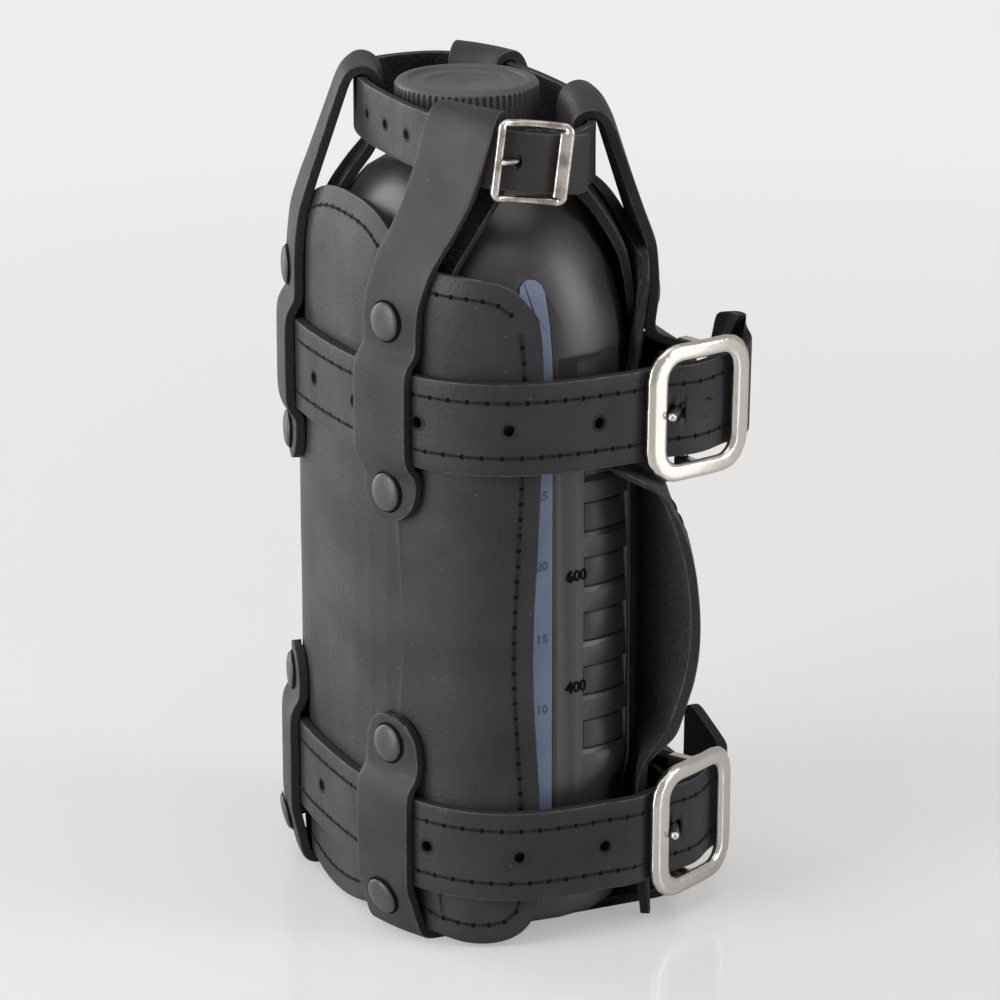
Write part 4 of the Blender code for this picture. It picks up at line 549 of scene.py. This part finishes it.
def front_edge_back(angle, height):
    """The front panel's open edge lies further forward than the solid's, and its waist is shallow."""
    far = between(height / MM, FRONT_EDGE_BACK)
    share = eased(math.degrees(angle), -62.0, -12.0)
    return angle - share * far / FRONT_EDGE_RADIUS if math.degrees(angle) < 60 else angle


def back_edge_back(angle, height):
    """Above the upper belt the back panel's open edge stands well back."""
    far = between(height / MM, BACK_EDGE_BACK)
    share = eased(math.degrees(angle), 80.0, 14.0)
    return angle + share * far / BACK_EDGE_RADIUS if -20 < math.degrees(angle) < 80 else angle


def open_flap(bm):
    """Between the belts the back panel's open edge springs further out."""
    for vert in bm.verts:
        angle = math.degrees(bearing(vert.co))
        if -20 < angle < 62:
            vert.co += CAMERA_RIGHT * (between(vert.co.z / MM, FLAP_OUT) * MM * eased(angle, 62.0, 22.0))


def fair(bm, crease):
    """Takes the kinks out of the cut outline, as a knife follows a template. Punched holes are left."""
    ways = {}
    for edge in bm.edges:
        if edge[crease] == 1.0 and edge.calc_length() > 2.6 * MM:
            for a, b in (edge.verts, reversed(edge.verts)):
                ways.setdefault(a, []).append(b)
    ways = {v: found for v, found in ways.items() if len(found) == 2}
    for _ in range(5):
        goals = {v: (a.co + v.co * 2 + b.co) / 4 for v, (a, b) in ways.items()}
        for vert, goal in goals.items():
            vert.co = goal


def supple(bm, by_template):
    """Turns the solid's straight facets into the even curves of bent leather. The arrises stay crisp."""
    bmesh.ops.join_triangles(bm, faces=bm.faces, angle_face_threshold=math.radians(14),
                             angle_shape_threshold=math.radians(50), cmp_materials=True)
    for longest in (12 * MM, 7 * MM):
        stretched = [e for e in bm.edges if e.calc_length() > longest]
        bmesh.ops.subdivide_edges(bm, edges=stretched, cuts=1, use_grid_fill=True)
    crease = bm.edges.layers.float.get("crease_edge") or bm.edges.layers.float.new("crease_edge")
    for edge in bm.edges:
        if len(edge.link_faces) == 2:
            a, b = (f.material_index for f in edge.link_faces)
            turn = edge.calc_face_angle()
            edge[crease] = 1.0 if (a == EDGE) != (b == EDGE) and turn > math.radians(45) else 0.0
    if by_template:
        fair(bm, crease)
    mesh = bpy.data.meshes.new("supple")
    bm.to_mesh(mesh)
    bm.free()
    piece = put("supple", mesh)
    curves = piece.modifiers.new("curves", "SUBSURF")
    curves.levels = curves.render_levels = 2
    bpy.context.view_layer.update()
    made = bmesh.new()
    made.from_mesh(piece.evaluated_get(bpy.context.evaluated_depsgraph_get()).to_mesh())
    bpy.data.objects.remove(piece)
    made.normal_update()
    return made


HIDES = {}


def cut_hide(node, arris, shape=None):
    """Makes one piece of leather from the CAD solid, and keeps its grain side for the sewing."""
    bm = joined(node)
    mark_sides(bm)
    bm.verts.index_update()
    if shape:
        shape(bm)
        bm.normal_update()
    bm = supple(bm, node in PANELS)
    bm.verts.index_update()
    HIDES[node] = (outlines(bm, GRAIN), side_surface(bm, GRAIN))
    round_arrises(bm, arris)
    stand_for(settle(f"{node}_leather", bm, LEATHER_FACES), node)


def front_shape(bm):
    """The front panel's own form."""
    recut(bm, front_edge_back)


def back_shape(bm):
    """The back panel's own form."""
    recut(bm, back_edge_back)
    open_flap(bm)


def turn_the_tail(bm):
    """The upper belt's free tail twists as it leaves the ring, and stands edge on to the open side."""
    tail = [v for v in bm.verts if v.co.z > TAIL_FOOT and v.co.x > 20 * MM]
    middle = sum((v.co for v in tail), Vector()) / len(tail)
    for vert in tail:
        share = eased(vert.co.z, TAIL_FOOT, TAIL_FOOT + 9 * MM)
        turn = Matrix.Rotation(TAIL_TWIST * share, 3, "Z")
        off = turn @ Vector((vert.co.x - middle.x, vert.co.y - middle.y, 0.0))
        vert.co.x, vert.co.y = middle.x + off.x, middle.y + off.y
        vert.co += CAMERA_RIGHT * (-3.2 * MM * share) + UPRIGHT * (3 * MM * share)


def slide_the_top(bm):
    """The front right neck strap slides round the collar at its top, and its riveted foot stays."""
    for vert in bm.verts:
        share = eased(vert.co.z, 172 * MM, 212 * MM)
        vert.co = BOTTLE_AXIS + Matrix.Rotation(math.radians(9) * share, 3, "Z") @ (vert.co - BOTTLE_AXIS)


cut_hide("front_panel", PANEL_ARRIS, front_shape)
cut_hide("back_panel", PANEL_ARRIS, back_shape)
cut_hide("upper_belt", STRAP_ARRIS, turn_the_tail)
cut_hide("neck_strap_front_right", STRAP_ARRIS, slide_the_top)
for hide in ["lower_belt", "neck_collar"] + NECK_STRAPS + BASE_STRAPS:
    if hide not in HIDES:
        cut_hide(hide, STRAP_ARRIS)


# Sewing.

STITCH_SHARE = 0.97
THREAD_RADIUS = 0.36 * MM
NEEDLE_HOLE_RADIUS = 0.72 * MM
# Along the stitch, and in thread radii: the thread's swell and how high its middle lies.
STITCH_FORM = ((0.0, 0.4, -0.6), (0.12, 0.8, 0.1), (0.35, 1.0, 0.35), (0.65, 1.0, 0.35), (0.88, 0.8, 0.1),
               (1.0, 0.4, -0.6))
# How far a row lies inside the edge, and how long its stitches are.
BELT_SEAM = (5.0 * MM, 5.3 * MM)
PANEL_SEAM = (5.5 * MM, 4.3 * MM)


def surface_of(nodes):
    """A tree of the solids' faces, to set things on them or to find what lies on a spot."""
    points, faces = [], []
    for node in nodes:
        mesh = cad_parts[node].data
        faces += [[len(points) + i for i in p.vertices] for p in mesh.polygons]
        points += [v.co[:] for v in mesh.vertices]
    return BVHTree.FromPolygons(points, faces)


EVERYTHING = surface_of(sorted(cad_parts))


def evenly(line, step):
    """Points at even steps along a line, ends included."""
    run = [0.0]
    for a, b in zip(line, line[1:]):
        run.append(run[-1] + (b - a).length)
    count = max(2, round(run[-1] / step) + 1)
    points, k = [], 0
    for i in range(count):
        at = run[-1] * i / (count - 1)
        while k < len(run) - 2 and run[k + 1] < at:
            k += 1
        span = run[k + 1] - run[k]
        points.append(line[k].lerp(line[k + 1], (at - run[k]) / span if span > 0 else 0.0))
    return points


def rows_inside(line, surface, inset):
    """The rows that run inside a closed outline, that far from it, on the face of the hide."""
    samples = evenly(line + line[:1], 1.0 * MM)[:-1]
    near = KDTree(len(samples))
    for i, point in enumerate(samples):
        near.insert(point, i)
    near.balance()
    kept = []
    for i, here in enumerate(samples):
        heading = (samples[(i + 1) % len(samples)] - samples[i - 1]).normalized()
        up = surface.find_nearest(here)[1]
        spot = surface.find_nearest(here + up.cross(heading) * inset)[0]
        kept.append(spot if near.find(spot)[2] > 0.88 * inset else None)
    if None not in kept:
        kept.append(kept[0])
        return [kept]
    first = kept.index(None)
    rows = [[]]
    for spot in kept[first:] + kept[:first]:
        if spot is not None and rows[-1] and (spot - rows[-1][-1]).length > 4 * MM:
            rows.append([])
        if spot is not None:
            rows[-1].append(spot)
    return [calmed(row, surface) for row in rows if len(row) > 6]


def calmed(row, surface):
    """Takes the wobble of the facets out of a row."""
    for _ in range(4):
        row = [row[0]] + [(a + b * 2 + c) / 4 for a, b, c in zip(row, row[1:], row[2:])] + [row[-1]]
    return [surface.find_nearest(spot)[0] for spot in row]


def add_stitch(bm, start, end, up):
    """One stitch: a thread that dips into the hide at both ends, and the needle hole at its start."""
    ahead = (end - start).normalized()
    side = ahead.cross(up).normalized()
    lift = side.cross(ahead).normalized()
    length = (end - start).length
    rings = [ring(bm, start + ahead * (length * share) + lift * (THREAD_RADIUS * height), side, lift,
                  THREAD_RADIUS * swell, 8) for share, swell, height in STITCH_FORM]
    for a, b in zip(rings, rings[1:]):
        bridge(bm, a, b)
    bm.faces.new(rings[0][::-1])
    bm.faces.new(rings[-1])
    # the needle hole is a shallow dent painted black: painted shade for the hole's depth
    lathe(bm, [(0, -0.3 * MM), (NEEDLE_HOLE_RADIUS, 0.0), (0.8 * NEEDLE_HOLE_RADIUS, 0.13 * MM),
               (0, 0.13 * MM)], 12, start, lift, 1)


def sew(node, inset, pitch, keep=lambda spot: True):
    """Sews a row of stitches along the outline of a hide, leaving out what another piece lies on."""
    lines, surface = HIDES[node]
    bm = bmesh.new()
    outline = max(lines, key=line_length)
    for row in rows_inside(outline, surface, inset):
        length = sum((b - a).length for a, b in zip(row, row[1:]))
        count = max(1, round(length / pitch))
        marks = evenly(row, length / count / 20)
        per = (len(marks) - 1) / count
        for i in range(count):
            first = marks[round(i * per)]
            last = marks[min(len(marks) - 1, round((i + STITCH_SHARE) * per))]
            if (last - first).length < 0.6 * STITCH_SHARE * pitch:
                continue
            start, up, _, _ = surface.find_nearest(first)
            end, up_too, _, _ = surface.find_nearest(last)
            up = (up + up_too).normalized()
            middle = (start + end) / 2
            if not keep(middle) or EVERYTHING.ray_cast(middle + up * 0.3 * MM, up, 1.6 * MM)[0]:
                continue
            add_stitch(bm, start, end, up)
    bmesh.ops.recalc_face_normals(bm, faces=bm.faces)
    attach(settle(f"{node}_sewing", bm, [THREAD, SHADE_AND_NUMBER_BLACK], 60.0), "carrier")


for belt in BELTS:
    sew(belt, *BELT_SEAM)
for panel in PANELS:
    sew(panel, *PANEL_SEAM, lambda spot: spot.x > BOTTLE_AXIS.x - 50 * MM)


# Punched holes.

def punched_rims(node):
    """A pressed ring round each punched hole, which leaves the hole itself truly round."""
    lines, surface = HIDES[node]
    bm = bmesh.new()
    for line in lines:
        if not 7 * MM < line_length(line) < 16 * MM:
            continue
        centre = sum(line, Vector()) / len(line)
        radius = sum((p - centre).length for p in line) / len(line)
        if max((p - centre).length for p in line) > 1.25 * radius:
            continue
        up = Vector()
        for a, b in zip(line, line[1:] + line[:1]):
            up += (b - centre).cross(a - centre)
        up.normalize()
        bore = 0.90 * radius
        profile = [(bore, -1.6), (bore, 0.02), (bore + 0.15 * MM, 0.10), (bore + 0.6 * MM, 0.10),
                   (bore + 0.95 * MM, -0.06), (bore + 0.6 * MM, -0.5), (bore + 0.3 * MM, -1.6)]
        lathe(bm, [(r, h * MM) for r, h in profile], 28, centre, up, closed=True)
    bmesh.ops.recalc_face_normals(bm, faces=bm.faces)
    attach(settle(f"{node}_punched_rims", bm, [CUT_EDGE], 60.0), "carrier")


for hide in BELTS + ["neck_collar"]:
    punched_rims(hide)


# Rivets.

def rivet(node):
    """A double cap rivet: a low dome with a rolled rim, its post, and the dent pressed in the leather."""
    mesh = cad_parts[node].data
    areas = {}
    for face in mesh.polygons:
        key = tuple(round(c, 2) for c in face.normal)
        areas[key] = areas.get(key, 0.0) + face.area
    underside = Vector(max(areas, key=areas.get)).normalized()
    axis = -underside
    points = [v.co for v in mesh.vertices]
    middle = sum(points, Vector()) / len(points)
    heights = [(p - middle).dot(axis) for p in points]
    radii = [((p - middle) - axis * h).length for p, h in zip(points, heights)]
    rim = [h for h, r in zip(heights, radii) if r > 4.5 * MM]
    base, top, foot = min(rim), max(heights), min(heights)
    post = max(r for h, r in zip(heights, radii) if h < foot + 0.1 * MM)
    wide = max(radii)
    crown = top - base
    profile = [(0, foot), (post, foot), (post, base), (wide - 0.5 * MM, base - 0.05 * MM),
               (wide - 0.1 * MM, base + 0.08 * crown), (wide, base + 0.22 * crown),
               (wide - 0.12 * MM, base + 0.38 * crown), (0.93 * wide, base + 0.54 * crown),
               (0.80 * wide, base + 0.72 * crown), (0.60 * wide, base + 0.88 * crown),
               (0.35 * wide, base + 0.97 * crown), (0, top)]
    bm = bmesh.new()
    lathe(bm, profile, 40, middle, axis)
    # the dent round the rim is painted black: a painted shadow gap round the rivet
    dent = [(wide - 0.2 * MM, base - 0.2 * MM), (wide + 0.05 * MM, base + 0.06 * MM),
            (wide + 0.25 * MM, base + 0.10 * MM), (wide + 0.55 * MM, base - 0.2 * MM)]
    lathe(bm, dent, 40, middle, axis, 1, closed=True)
    bmesh.ops.recalc_face_normals(bm, faces=bm.faces)
    stand_for(settle(f"{node}_dome", bm, [LACQUERED_BRASS, SHADE_AND_NUMBER_BLACK], 50.0), node)


for node in sorted(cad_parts):
    if "_rivet_" in node:
        rivet(node)


# Buckles.

# The neck buckle's ring: how wide its hinge bar, rails and end are, its corners' radius, how thick it is,
# and how square its section is, where 2 is round.
HINGE_BAR, RAIL_BAR, END_BAR = 2.2 * MM, 1.9 * MM, 3.9 * MM
RING_CORNER = 2.6 * MM
RING_THICKNESS = 1.8 * MM
RING_SQUARENESS = 2.6


def squared(value):
    """A sine or cosine that stays near its ends for longer, which squares a round section."""
    return math.copysign(abs(value) ** (2 / RING_SQUARENESS), value)


def neck_ring():
    """A cast ring: one closed bar that swells and narrows on its way, in the solid's plane and bow."""
    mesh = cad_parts["neck_buckle_frame"].data
    points = [v.co for v in mesh.vertices]
    heart = sum(points, Vector()) / len(points)
    away = (heart - BOTTLE_AXIS) * Vector((1.0, 1.0, 0.0))
    out = sum((f.normal * f.area for f in mesh.polygons if f.normal.dot(away.normalized()) > 0.6), Vector())
    out.normalize()
    level = UPRIGHT.cross(out).normalized()
    best = None
    for turn in range(-15, 16):
        along = Matrix.Rotation(math.radians(turn), 3, out) @ level
        up = out.cross(along)
        spread = [[(p - heart).dot(way) for p in points] for way in (along, up)]
        size = (max(spread[0]) - min(spread[0])) * (max(spread[1]) - min(spread[1]))
        if best is None or size < best[0]:
            best = (size, along, up, spread)
    _, along, up, (us, vs) = best
    ws = [(p - heart).dot(out) for p in points]
    mid_u, mid_v = (max(us) + min(us)) / 2, (max(vs) + min(vs)) / 2
    half_u, half_v = (max(us) - min(us)) / 2, (max(vs) - min(vs)) / 2
    path = []
    for quarter, (su, sv) in enumerate(((1, 1), (-1, 1), (-1, -1), (1, -1))):
        for i in range(13):
            t = math.pi / 2 * (quarter + i / 12)
            nu, nv = math.cos(t), math.sin(t)
            path.append((su * (half_u - RING_CORNER) + nu * RING_CORNER,
                         sv * (half_v - RING_CORNER) + nv * RING_CORNER, nu, nv))
    evened = []
    for a, b in zip(path, path[1:] + path[:1]):
        steps = max(1, round(math.hypot(b[0] - a[0], b[1] - a[1]) / (1.2 * MM)))
        evened += [tuple(p + (q - p) * k / steps for p, q in zip(a, b)) for k in range(steps)]

    def level_at(chosen):
        """How far out the middle of the chosen part of the solid lies."""
        found = [w for u, v, w in zip(us, vs, ws) if chosen(u - mid_u, v - mid_v)]
        return (max(found) + min(found)) / 2

    start = level_at(lambda u, v: u < 0.7 * MM - half_u)
    finish = level_at(lambda u, v: u > half_u - 0.7 * MM)
    rails = level_at(lambda u, v: abs(v) > half_v - 0.5 * MM)
    bow = rails - (start + finish) / 2
    bm = bmesh.new()
    rings = []
    for pu, pv, nu, nv in evened:
        height = (rails + (finish - start) / 2 * (pu / half_u) - bow * (pu / half_u) ** 2
                  + 0.08 * (END_BAR - RAIL_BAR) * max(0.0, nu) ** 2)
        half = (HINGE_BAR * max(0.0, -nu) ** 2 + END_BAR * max(0.0, nu) ** 2 + RAIL_BAR * nv ** 2) / 2
        section = []
        for k in range(20):
            t = 2 * math.pi * k / 20
            wide = half * squared(math.cos(t)) - half
            high = RING_THICKNESS / 2 * squared(math.sin(t))
            section.append(bm.verts.new(heart + along * (mid_u + pu + nu * wide)
                                        + up * (mid_v + pv + nv * wide) + out * (height + high)))
        rings.append(section)
    for a, b in zip(rings, rings[1:] + rings[:1]):
        bridge(bm, a, b)
    bmesh.ops.recalc_face_normals(bm, faces=bm.faces)
    piece = settle("neck_buckle_ring", bm, [ANTIQUE_NICKEL], 50.0)
    stand_for(piece, "neck_buckle_frame", "neck_buckle_ring")


def cast(node, body, metal, grit, runs, plump):
    """A casting has no sharp corner: the solid is taken up on a fine even mesh and run soft and plump."""
    piece = settle(f"{node}_casting", joined(node), [metal])
    cloud = piece.modifiers.new("even", "REMESH")
    cloud.mode = "VOXEL"
    cloud.voxel_size = grit
    cloud.use_smooth_shade = True
    soften = piece.modifiers.new("soften", "SMOOTH")
    soften.factor = 0.5
    soften.iterations = runs
    swell = piece.modifiers.new("plump", "DISPLACE")
    swell.mid_level = 0.0
    swell.strength = plump
    stand_for(piece, node, body)


for place in ("upper", "lower"):
    cast(f"{place}_buckle_frame", f"{place}_buckle_ring", SATIN_NICKEL, 0.30 * MM, 26, 0.05 * MM)
    cast(f"{place}_buckle_prong", f"{place}_buckle_tongue", SATIN_NICKEL, 0.26 * MM, 3, 0.25 * MM)
neck_ring()
cast("neck_buckle_prong", "neck_buckle_tongue", ANTIQUE_NICKEL, 0.16 * MM, 3, 0.18 * MM)


# Bottle, strip and cap.

TOP_WINDOW = 137.6 * MM
WINDOW_PITCH = 15.4 * MM
WINDOW_TOPS = [TOP_WINDOW - WINDOW_PITCH * n for n in range(6)]
WINDOW_HEIGHT = 10 * MM
RAIL_MIDDLE = (WINDOW_PITCH - WINDOW_HEIGHT) / 2
LEDGE_HEIGHT = 0.2 * WINDOW_HEIGHT
LEDGE_DRAFT = 1.1 * MM
DITCH_WIDTH = 0.8 * MM
INWARD = Vector((-1.0, 0.0, 0.0))
WINDOWS_FACE = Vector((0.85, 0.5, 0.0))
FLOOR_SINK = 0.5 * MM
FLOOR_RISE = 0.45 * MM
# How far along x the open side lies at its middle.
OPEN_SIDE = 51 * MM


def window_floors(bm):
    """The sunk floors of the ladder of windows down the open side, one list of faces for each."""
    tree = BVHTree.FromBMesh(bm)
    found = []
    for top in WINDOW_TOPS:
        floor = []
        for face in bm.faces:
            middle = face.calc_center_median()
            if not top - WINDOW_HEIGHT < middle.z < top or face.normal.x < 0.15 or abs(face.normal.z) > 0.3:
                continue
            rail = tree.ray_cast(Vector((OUTSIDE, middle.y, top + RAIL_MIDDLE)), INWARD)[0]
            if rail is not None and 0.4 * MM < rail.x - middle.x < 3 * MM and middle.x > 0:
                floor.append(face)
        found.append(floor)
    return found


def moulded_bottle():
    """The bottle with its windows as the blow mould leaves them: a drafted lower ledge and a fine ditch
    round each floor, with every corner run soft."""
    bm = joined("bottle_body")
    for floor, top in zip(window_floors(bm), WINDOW_TOPS):
        if not floor:
            continue
        for vert in {v for f in floor for v in f.verts}:
            vert.co -= WINDOWS_FACE * FLOOR_SINK
            if vert.co.z < top - WINDOW_HEIGHT + LEDGE_HEIGHT:
                vert.co.z += LEDGE_DRAFT
        bm.normal_update()
        ditch = bmesh.ops.inset_region(bm, faces=floor, thickness=DITCH_WIDTH, depth=0.0,
                                       use_even_offset=True)
        # the ditch round each floor is painted near black: painted shade along the window's edges
        for face in ditch["faces"]:
            face.material_index = 1
        for vert in {v for f in floor for v in f.verts}:
            vert.co += WINDOWS_FACE * FLOOR_RISE
    long = [e for e in bm.edges if abs(e.verts[0].co.z - e.verts[1].co.z) > 20 * MM]
    bmesh.ops.subdivide_edges(bm, edges=long, cuts=9, use_grid_fill=True)
    # between the belts the open side stands squarer than the solid's
    for vert in bm.verts:
        x, y, z = vert.co
        share = (eased(y, -3 * MM, 3 * MM) * eased(x, 12 * MM, 22 * MM)
                 * eased(z, 38 * MM, 46 * MM) * eased(z, 142 * MM, 134 * MM))
        vert.co.x += 0.5 * max(0.0, OPEN_SIDE - x) * share
    bm.normal_update()
    corners = [e for e in bm.edges if len(e.link_faces) == 2 and e.calc_face_angle() > math.radians(35)
               and (e.verts[0].co + e.verts[1].co).x / 2 > 10 * MM and e.verts[0].co.z < 175 * MM]
    bmesh.ops.bevel(bm, geom=corners, offset=0.18 * MM, offset_type="OFFSET", segments=2, profile=0.5,
                    affect="EDGES", clamp_overlap=True)
    stand_for(settle("bottle_moulding", bm, [BLACK_HDPE, PAINTED_DITCH_SHADE], 28.0), "bottle_body")


moulded_bottle()
stand_for(settle("sight_strip", joined("level_stripe"), [MILKY_HDPE], 32.0), "level_stripe")
stand_for(settle("cap_liner_disc", joined("cap_liner"), [FOAMED_LINER], 32.0), "cap_liner", "cap_seal")

CAP_RIBS = 66
# How deep the grip is at each step from one rib to the next, as a share of the whole depth.
RIB_FORM = (1.0, 0.75, 0.0, 0.0, 0.0, 0.75)
RIB_DEPTH = 0.55 * MM
LINER_ROOM = 0.15 * MM


def ribbed_cap():
    """A screw cap: grips down its skirt, a raised rim, a shallow ring and a dished middle with its gate."""
    liner_low, liner_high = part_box("cap_liner")
    wide = (CAP_HIGH.x - CAP_LOW.x) / 2
    bore = (liner_high.x - liner_low.x) / 2 + LINER_ROOM
    foot, top, ceiling = CAP_LOW.z, CAP_HIGH.z, liner_high.z + LINER_ROOM
    rim = top - 0.9 * MM
    profile = [  # radius, height, how much of the grip shows
        (0.0, ceiling, 0), (bore, ceiling, 0), (bore, foot + 0.4 * MM, 0), (bore + 0.4 * MM, foot, 0),
        (wide - 0.9 * MM, foot, 0), (wide - 0.4 * MM, foot + 0.3 * MM, 0), (wide, foot + 0.9 * MM, 1),
        (wide, rim - 0.9 * MM, 1), (wide - 0.15 * MM, rim - 0.3 * MM, 0), (wide - 0.35 * MM, rim, 0),
        (wide - 0.75 * MM, rim + 0.45 * MM, 0), (wide - 1.4 * MM, top - 0.1 * MM, 0),
        (wide - 2.0 * MM, top, 0), (wide - 2.9 * MM, top, 0), (wide - 3.4 * MM, top - 0.2 * MM, 0),
        (wide - 3.8 * MM, top - 0.75 * MM, 0), (11.9 * MM, top - 0.85 * MM, 0),
        (11.3 * MM, top - 0.9 * MM, 0), (10.8 * MM, top - 1.35 * MM, 0), (10.2 * MM, top - 1.5 * MM, 0),
        (1.3 * MM, top - 1.5 * MM, 0), (0.9 * MM, top - 1.75 * MM, 0), (0.0, top - 1.8 * MM, 0)]
    sides = CAP_RIBS * len(RIB_FORM)
    bm = bmesh.new()
    rings = []
    for radius, height, grip in profile:
        middle = BOTTLE_AXIS + UPRIGHT * height
        if radius == 0:
            rings.append([bm.verts.new(middle)])
            continue
        skirt = []
        for i in range(sides):
            t = 2 * math.pi * i / sides
            groove = RIB_DEPTH * grip * RIB_FORM[i % len(RIB_FORM)]
            skirt.append(bm.verts.new(middle + Vector((math.cos(t), math.sin(t), 0.0)) * (radius - groove)))
        rings.append(skirt)
    for a, b in zip(rings, rings[1:]):
        bridge(bm, a, b)
    bmesh.ops.recalc_face_normals(bm, faces=bm.faces)
    stand_for(settle("ribbed_screw_cap", bm, [DARK_POLYPROPYLENE], 35.0), "bottle_cap", "cap")


ribbed_cap()


# The bottle's marks, each at its height in millimetres.

OPEN_SIDE_MARKS = {600: 102.0, 400: 70.5}
STRIP_MARKS = {25: 126.0, 20: 106.5, 15: 86.0, 10: 66.0}


def moulded_number(kind, value, height, node, across, size, relief, material):
    """A generic graduation that stands up from the open side, with its foot sunk in the plastic."""
    name = f"{kind}_{value}"
    body = bpy.data.curves.new(name, "FONT")
    body.body = str(value)
    body.size = size
    body.align_x, body.align_y = "CENTER", "CENTER"
    body.extrude = relief
    body.offset = 0.02 * size
    body.resolution_u = 3
    letters = put(name, body)
    spot, up, _, _ = surface_of([node]).ray_cast(Vector((OUTSIDE, BOTTLE_AXIS.y + across, height)), INWARD)
    level = UPRIGHT.cross(up).normalized()
    axes = Matrix((level, up.cross(level), up)).transposed()
    letters.matrix_world = Matrix.Translation(spot) @ axes.to_4x4()
    bpy.context.view_layer.update()
    mesh = bpy.data.meshes.new_from_object(letters.evaluated_get(bpy.context.evaluated_depsgraph_get()))
    mesh.transform(letters.matrix_world)
    mesh.materials.clear()
    mesh.materials.append(material)
    bpy.data.objects.remove(letters)
    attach(put(name, mesh), "carrier")


for value, height in OPEN_SIDE_MARKS.items():
    moulded_number("moulded", value, height * MM, "bottle_body", 7.4 * MM, 4.4 * MM, 0.22 * MM, SHADE_AND_NUMBER_BLACK)
for value, height in STRIP_MARKS.items():
    moulded_number("strip", value, height * MM, "level_stripe", -3.4 * MM, 3.4 * MM, 0.12 * MM, ROLLED_INK)


# Floor and light.

def acrylic_floor():
    """A white acrylic sheet, polished: pale, with a weak mirror image and the object's soft shadow."""
    m, place = blank("white_acrylic")
    haze = add(m, "ShaderNodeTexNoise", {"Vector": place, "Scale": 1.2, "Detail": 2.0})
    tone = add(m, "ShaderNodeMix", {0: haze.outputs["Fac"], 6: linear("#e8e7e6"), 7: linear("#ecebea")},
               data_type="RGBA")
    sheet = add(m, "ShaderNodeBsdfPrincipled", {
        "Base Color": tone.outputs[2], "Roughness": 0.10, "IOR": 1.49, "Specular IOR Level": 0.5})
    glow = add(m, "ShaderNodeEmission", {"Color": linear("#f2f1ef"), "Strength": 1.0})
    seen = add(m, "ShaderNodeLightPath")
    far = add(m, "ShaderNodeVectorMath", {0: place}, operation="LENGTH")
    out = add(m, "ShaderNodeMapRange", {"Value": far.outputs["Value"], "From Min": 0.15, "From Max": 0.9,
                                        "To Min": 0.40, "To Max": 0.92})
    share = add(m, "ShaderNodeMath", {0: seen.outputs["Is Camera Ray"], 1: out.outputs["Result"]},
                operation="MULTIPLY")
    both = add(m, "ShaderNodeMixShader", {0: share.outputs["Value"], 1: sheet.outputs["BSDF"],
                                          2: glow.outputs["Emission"]})
    add(m, "ShaderNodeOutputMaterial", {"Surface": both.outputs["Shader"]})
    return m


def lay_floor():
    """The sheet lies under the object and runs out of sight."""
    bm = bmesh.new()
    lathe(bm, [(0, 0.0), (0.4, 0.0), (1.5, 0.0), (6.0, 0.0)], 64, Vector((0, 0, 0)), UPRIGHT)
    bmesh.ops.recalc_face_normals(bm, faces=bm.faces)
    settle("floor", bm, [acrylic_floor()])


def hang_lamp(name, right, ahead, up, size, power):
    """A soft box, placed by how far it is to the camera's right, ahead of the object and up, in metres."""
    data = bpy.data.lights.new(name, "AREA")
    data.shape = "RECTANGLE"
    data.size, data.size_y = size
    data.energy = power
    lamp = put(name, data)
    level_ahead = Vector((CAMERA_AHEAD.x, CAMERA_AHEAD.y, 0.0)).normalized()
    lamp.location = BOTTLE_AXIS + CAMERA_RIGHT * right + level_ahead * ahead + UPRIGHT * up
    lamp.visible_camera = False
    lamp.rotation_mode = "QUATERNION"
    lamp.rotation_quaternion = (HEART - lamp.location).to_track_quat("-Z", "Y")


def pale_room():
    """The room round the set: even pale grey that fills the shadows, and white where the camera sees it."""
    world = bpy.data.worlds.new("pale_room")
    bpy.context.scene.world = world
    world.use_nodes = True
    world.node_tree.nodes.clear()
    seen = add(world, "ShaderNodeLightPath")
    plain = add(world, "ShaderNodeBackground", {"Color": linear("#f3f2f1"), "Strength": 1.0})
    fill = add(world, "ShaderNodeBackground", {"Color": linear("#f4f3f2"), "Strength": 0.17})
    mirrored = add(world, "ShaderNodeMath", {0: seen.outputs["Is Glossy Ray"],
                                             1: seen.outputs["Is Transmission Ray"]}, operation="MAXIMUM")
    dimmed = add(world, "ShaderNodeMath", {0: mirrored.outputs["Value"], 1: 0.45}, operation="MULTIPLY")
    share = add(world, "ShaderNodeMath", {0: seen.outputs["Is Camera Ray"], 1: dimmed.outputs["Value"]},
                operation="MAXIMUM")
    both = add(world, "ShaderNodeMixShader", {0: share.outputs["Value"], 1: fill.outputs["Background"],
                                              2: plain.outputs["Background"]})
    add(world, "ShaderNodeOutputWorld", {"Surface": both.outputs["Shader"]})


lay_floor()
pale_room()
hang_lamp("key_softbox", -1.35, -0.75, 0.55, (1.0, 1.2), 25.0)
hang_lamp("top_softbox", 0.0, -0.2, 1.6, (1.4, 1.4), 8.5)
hang_lamp("rim_softbox", -1.2, 0.8, 0.5, (0.7, 1.2), 11.0)
hang_lamp("right_softbox", 1.3, -0.35, 0.6, (0.5, 1.1), 9.0)

bpy.context.scene.view_settings.view_transform = "Standard"
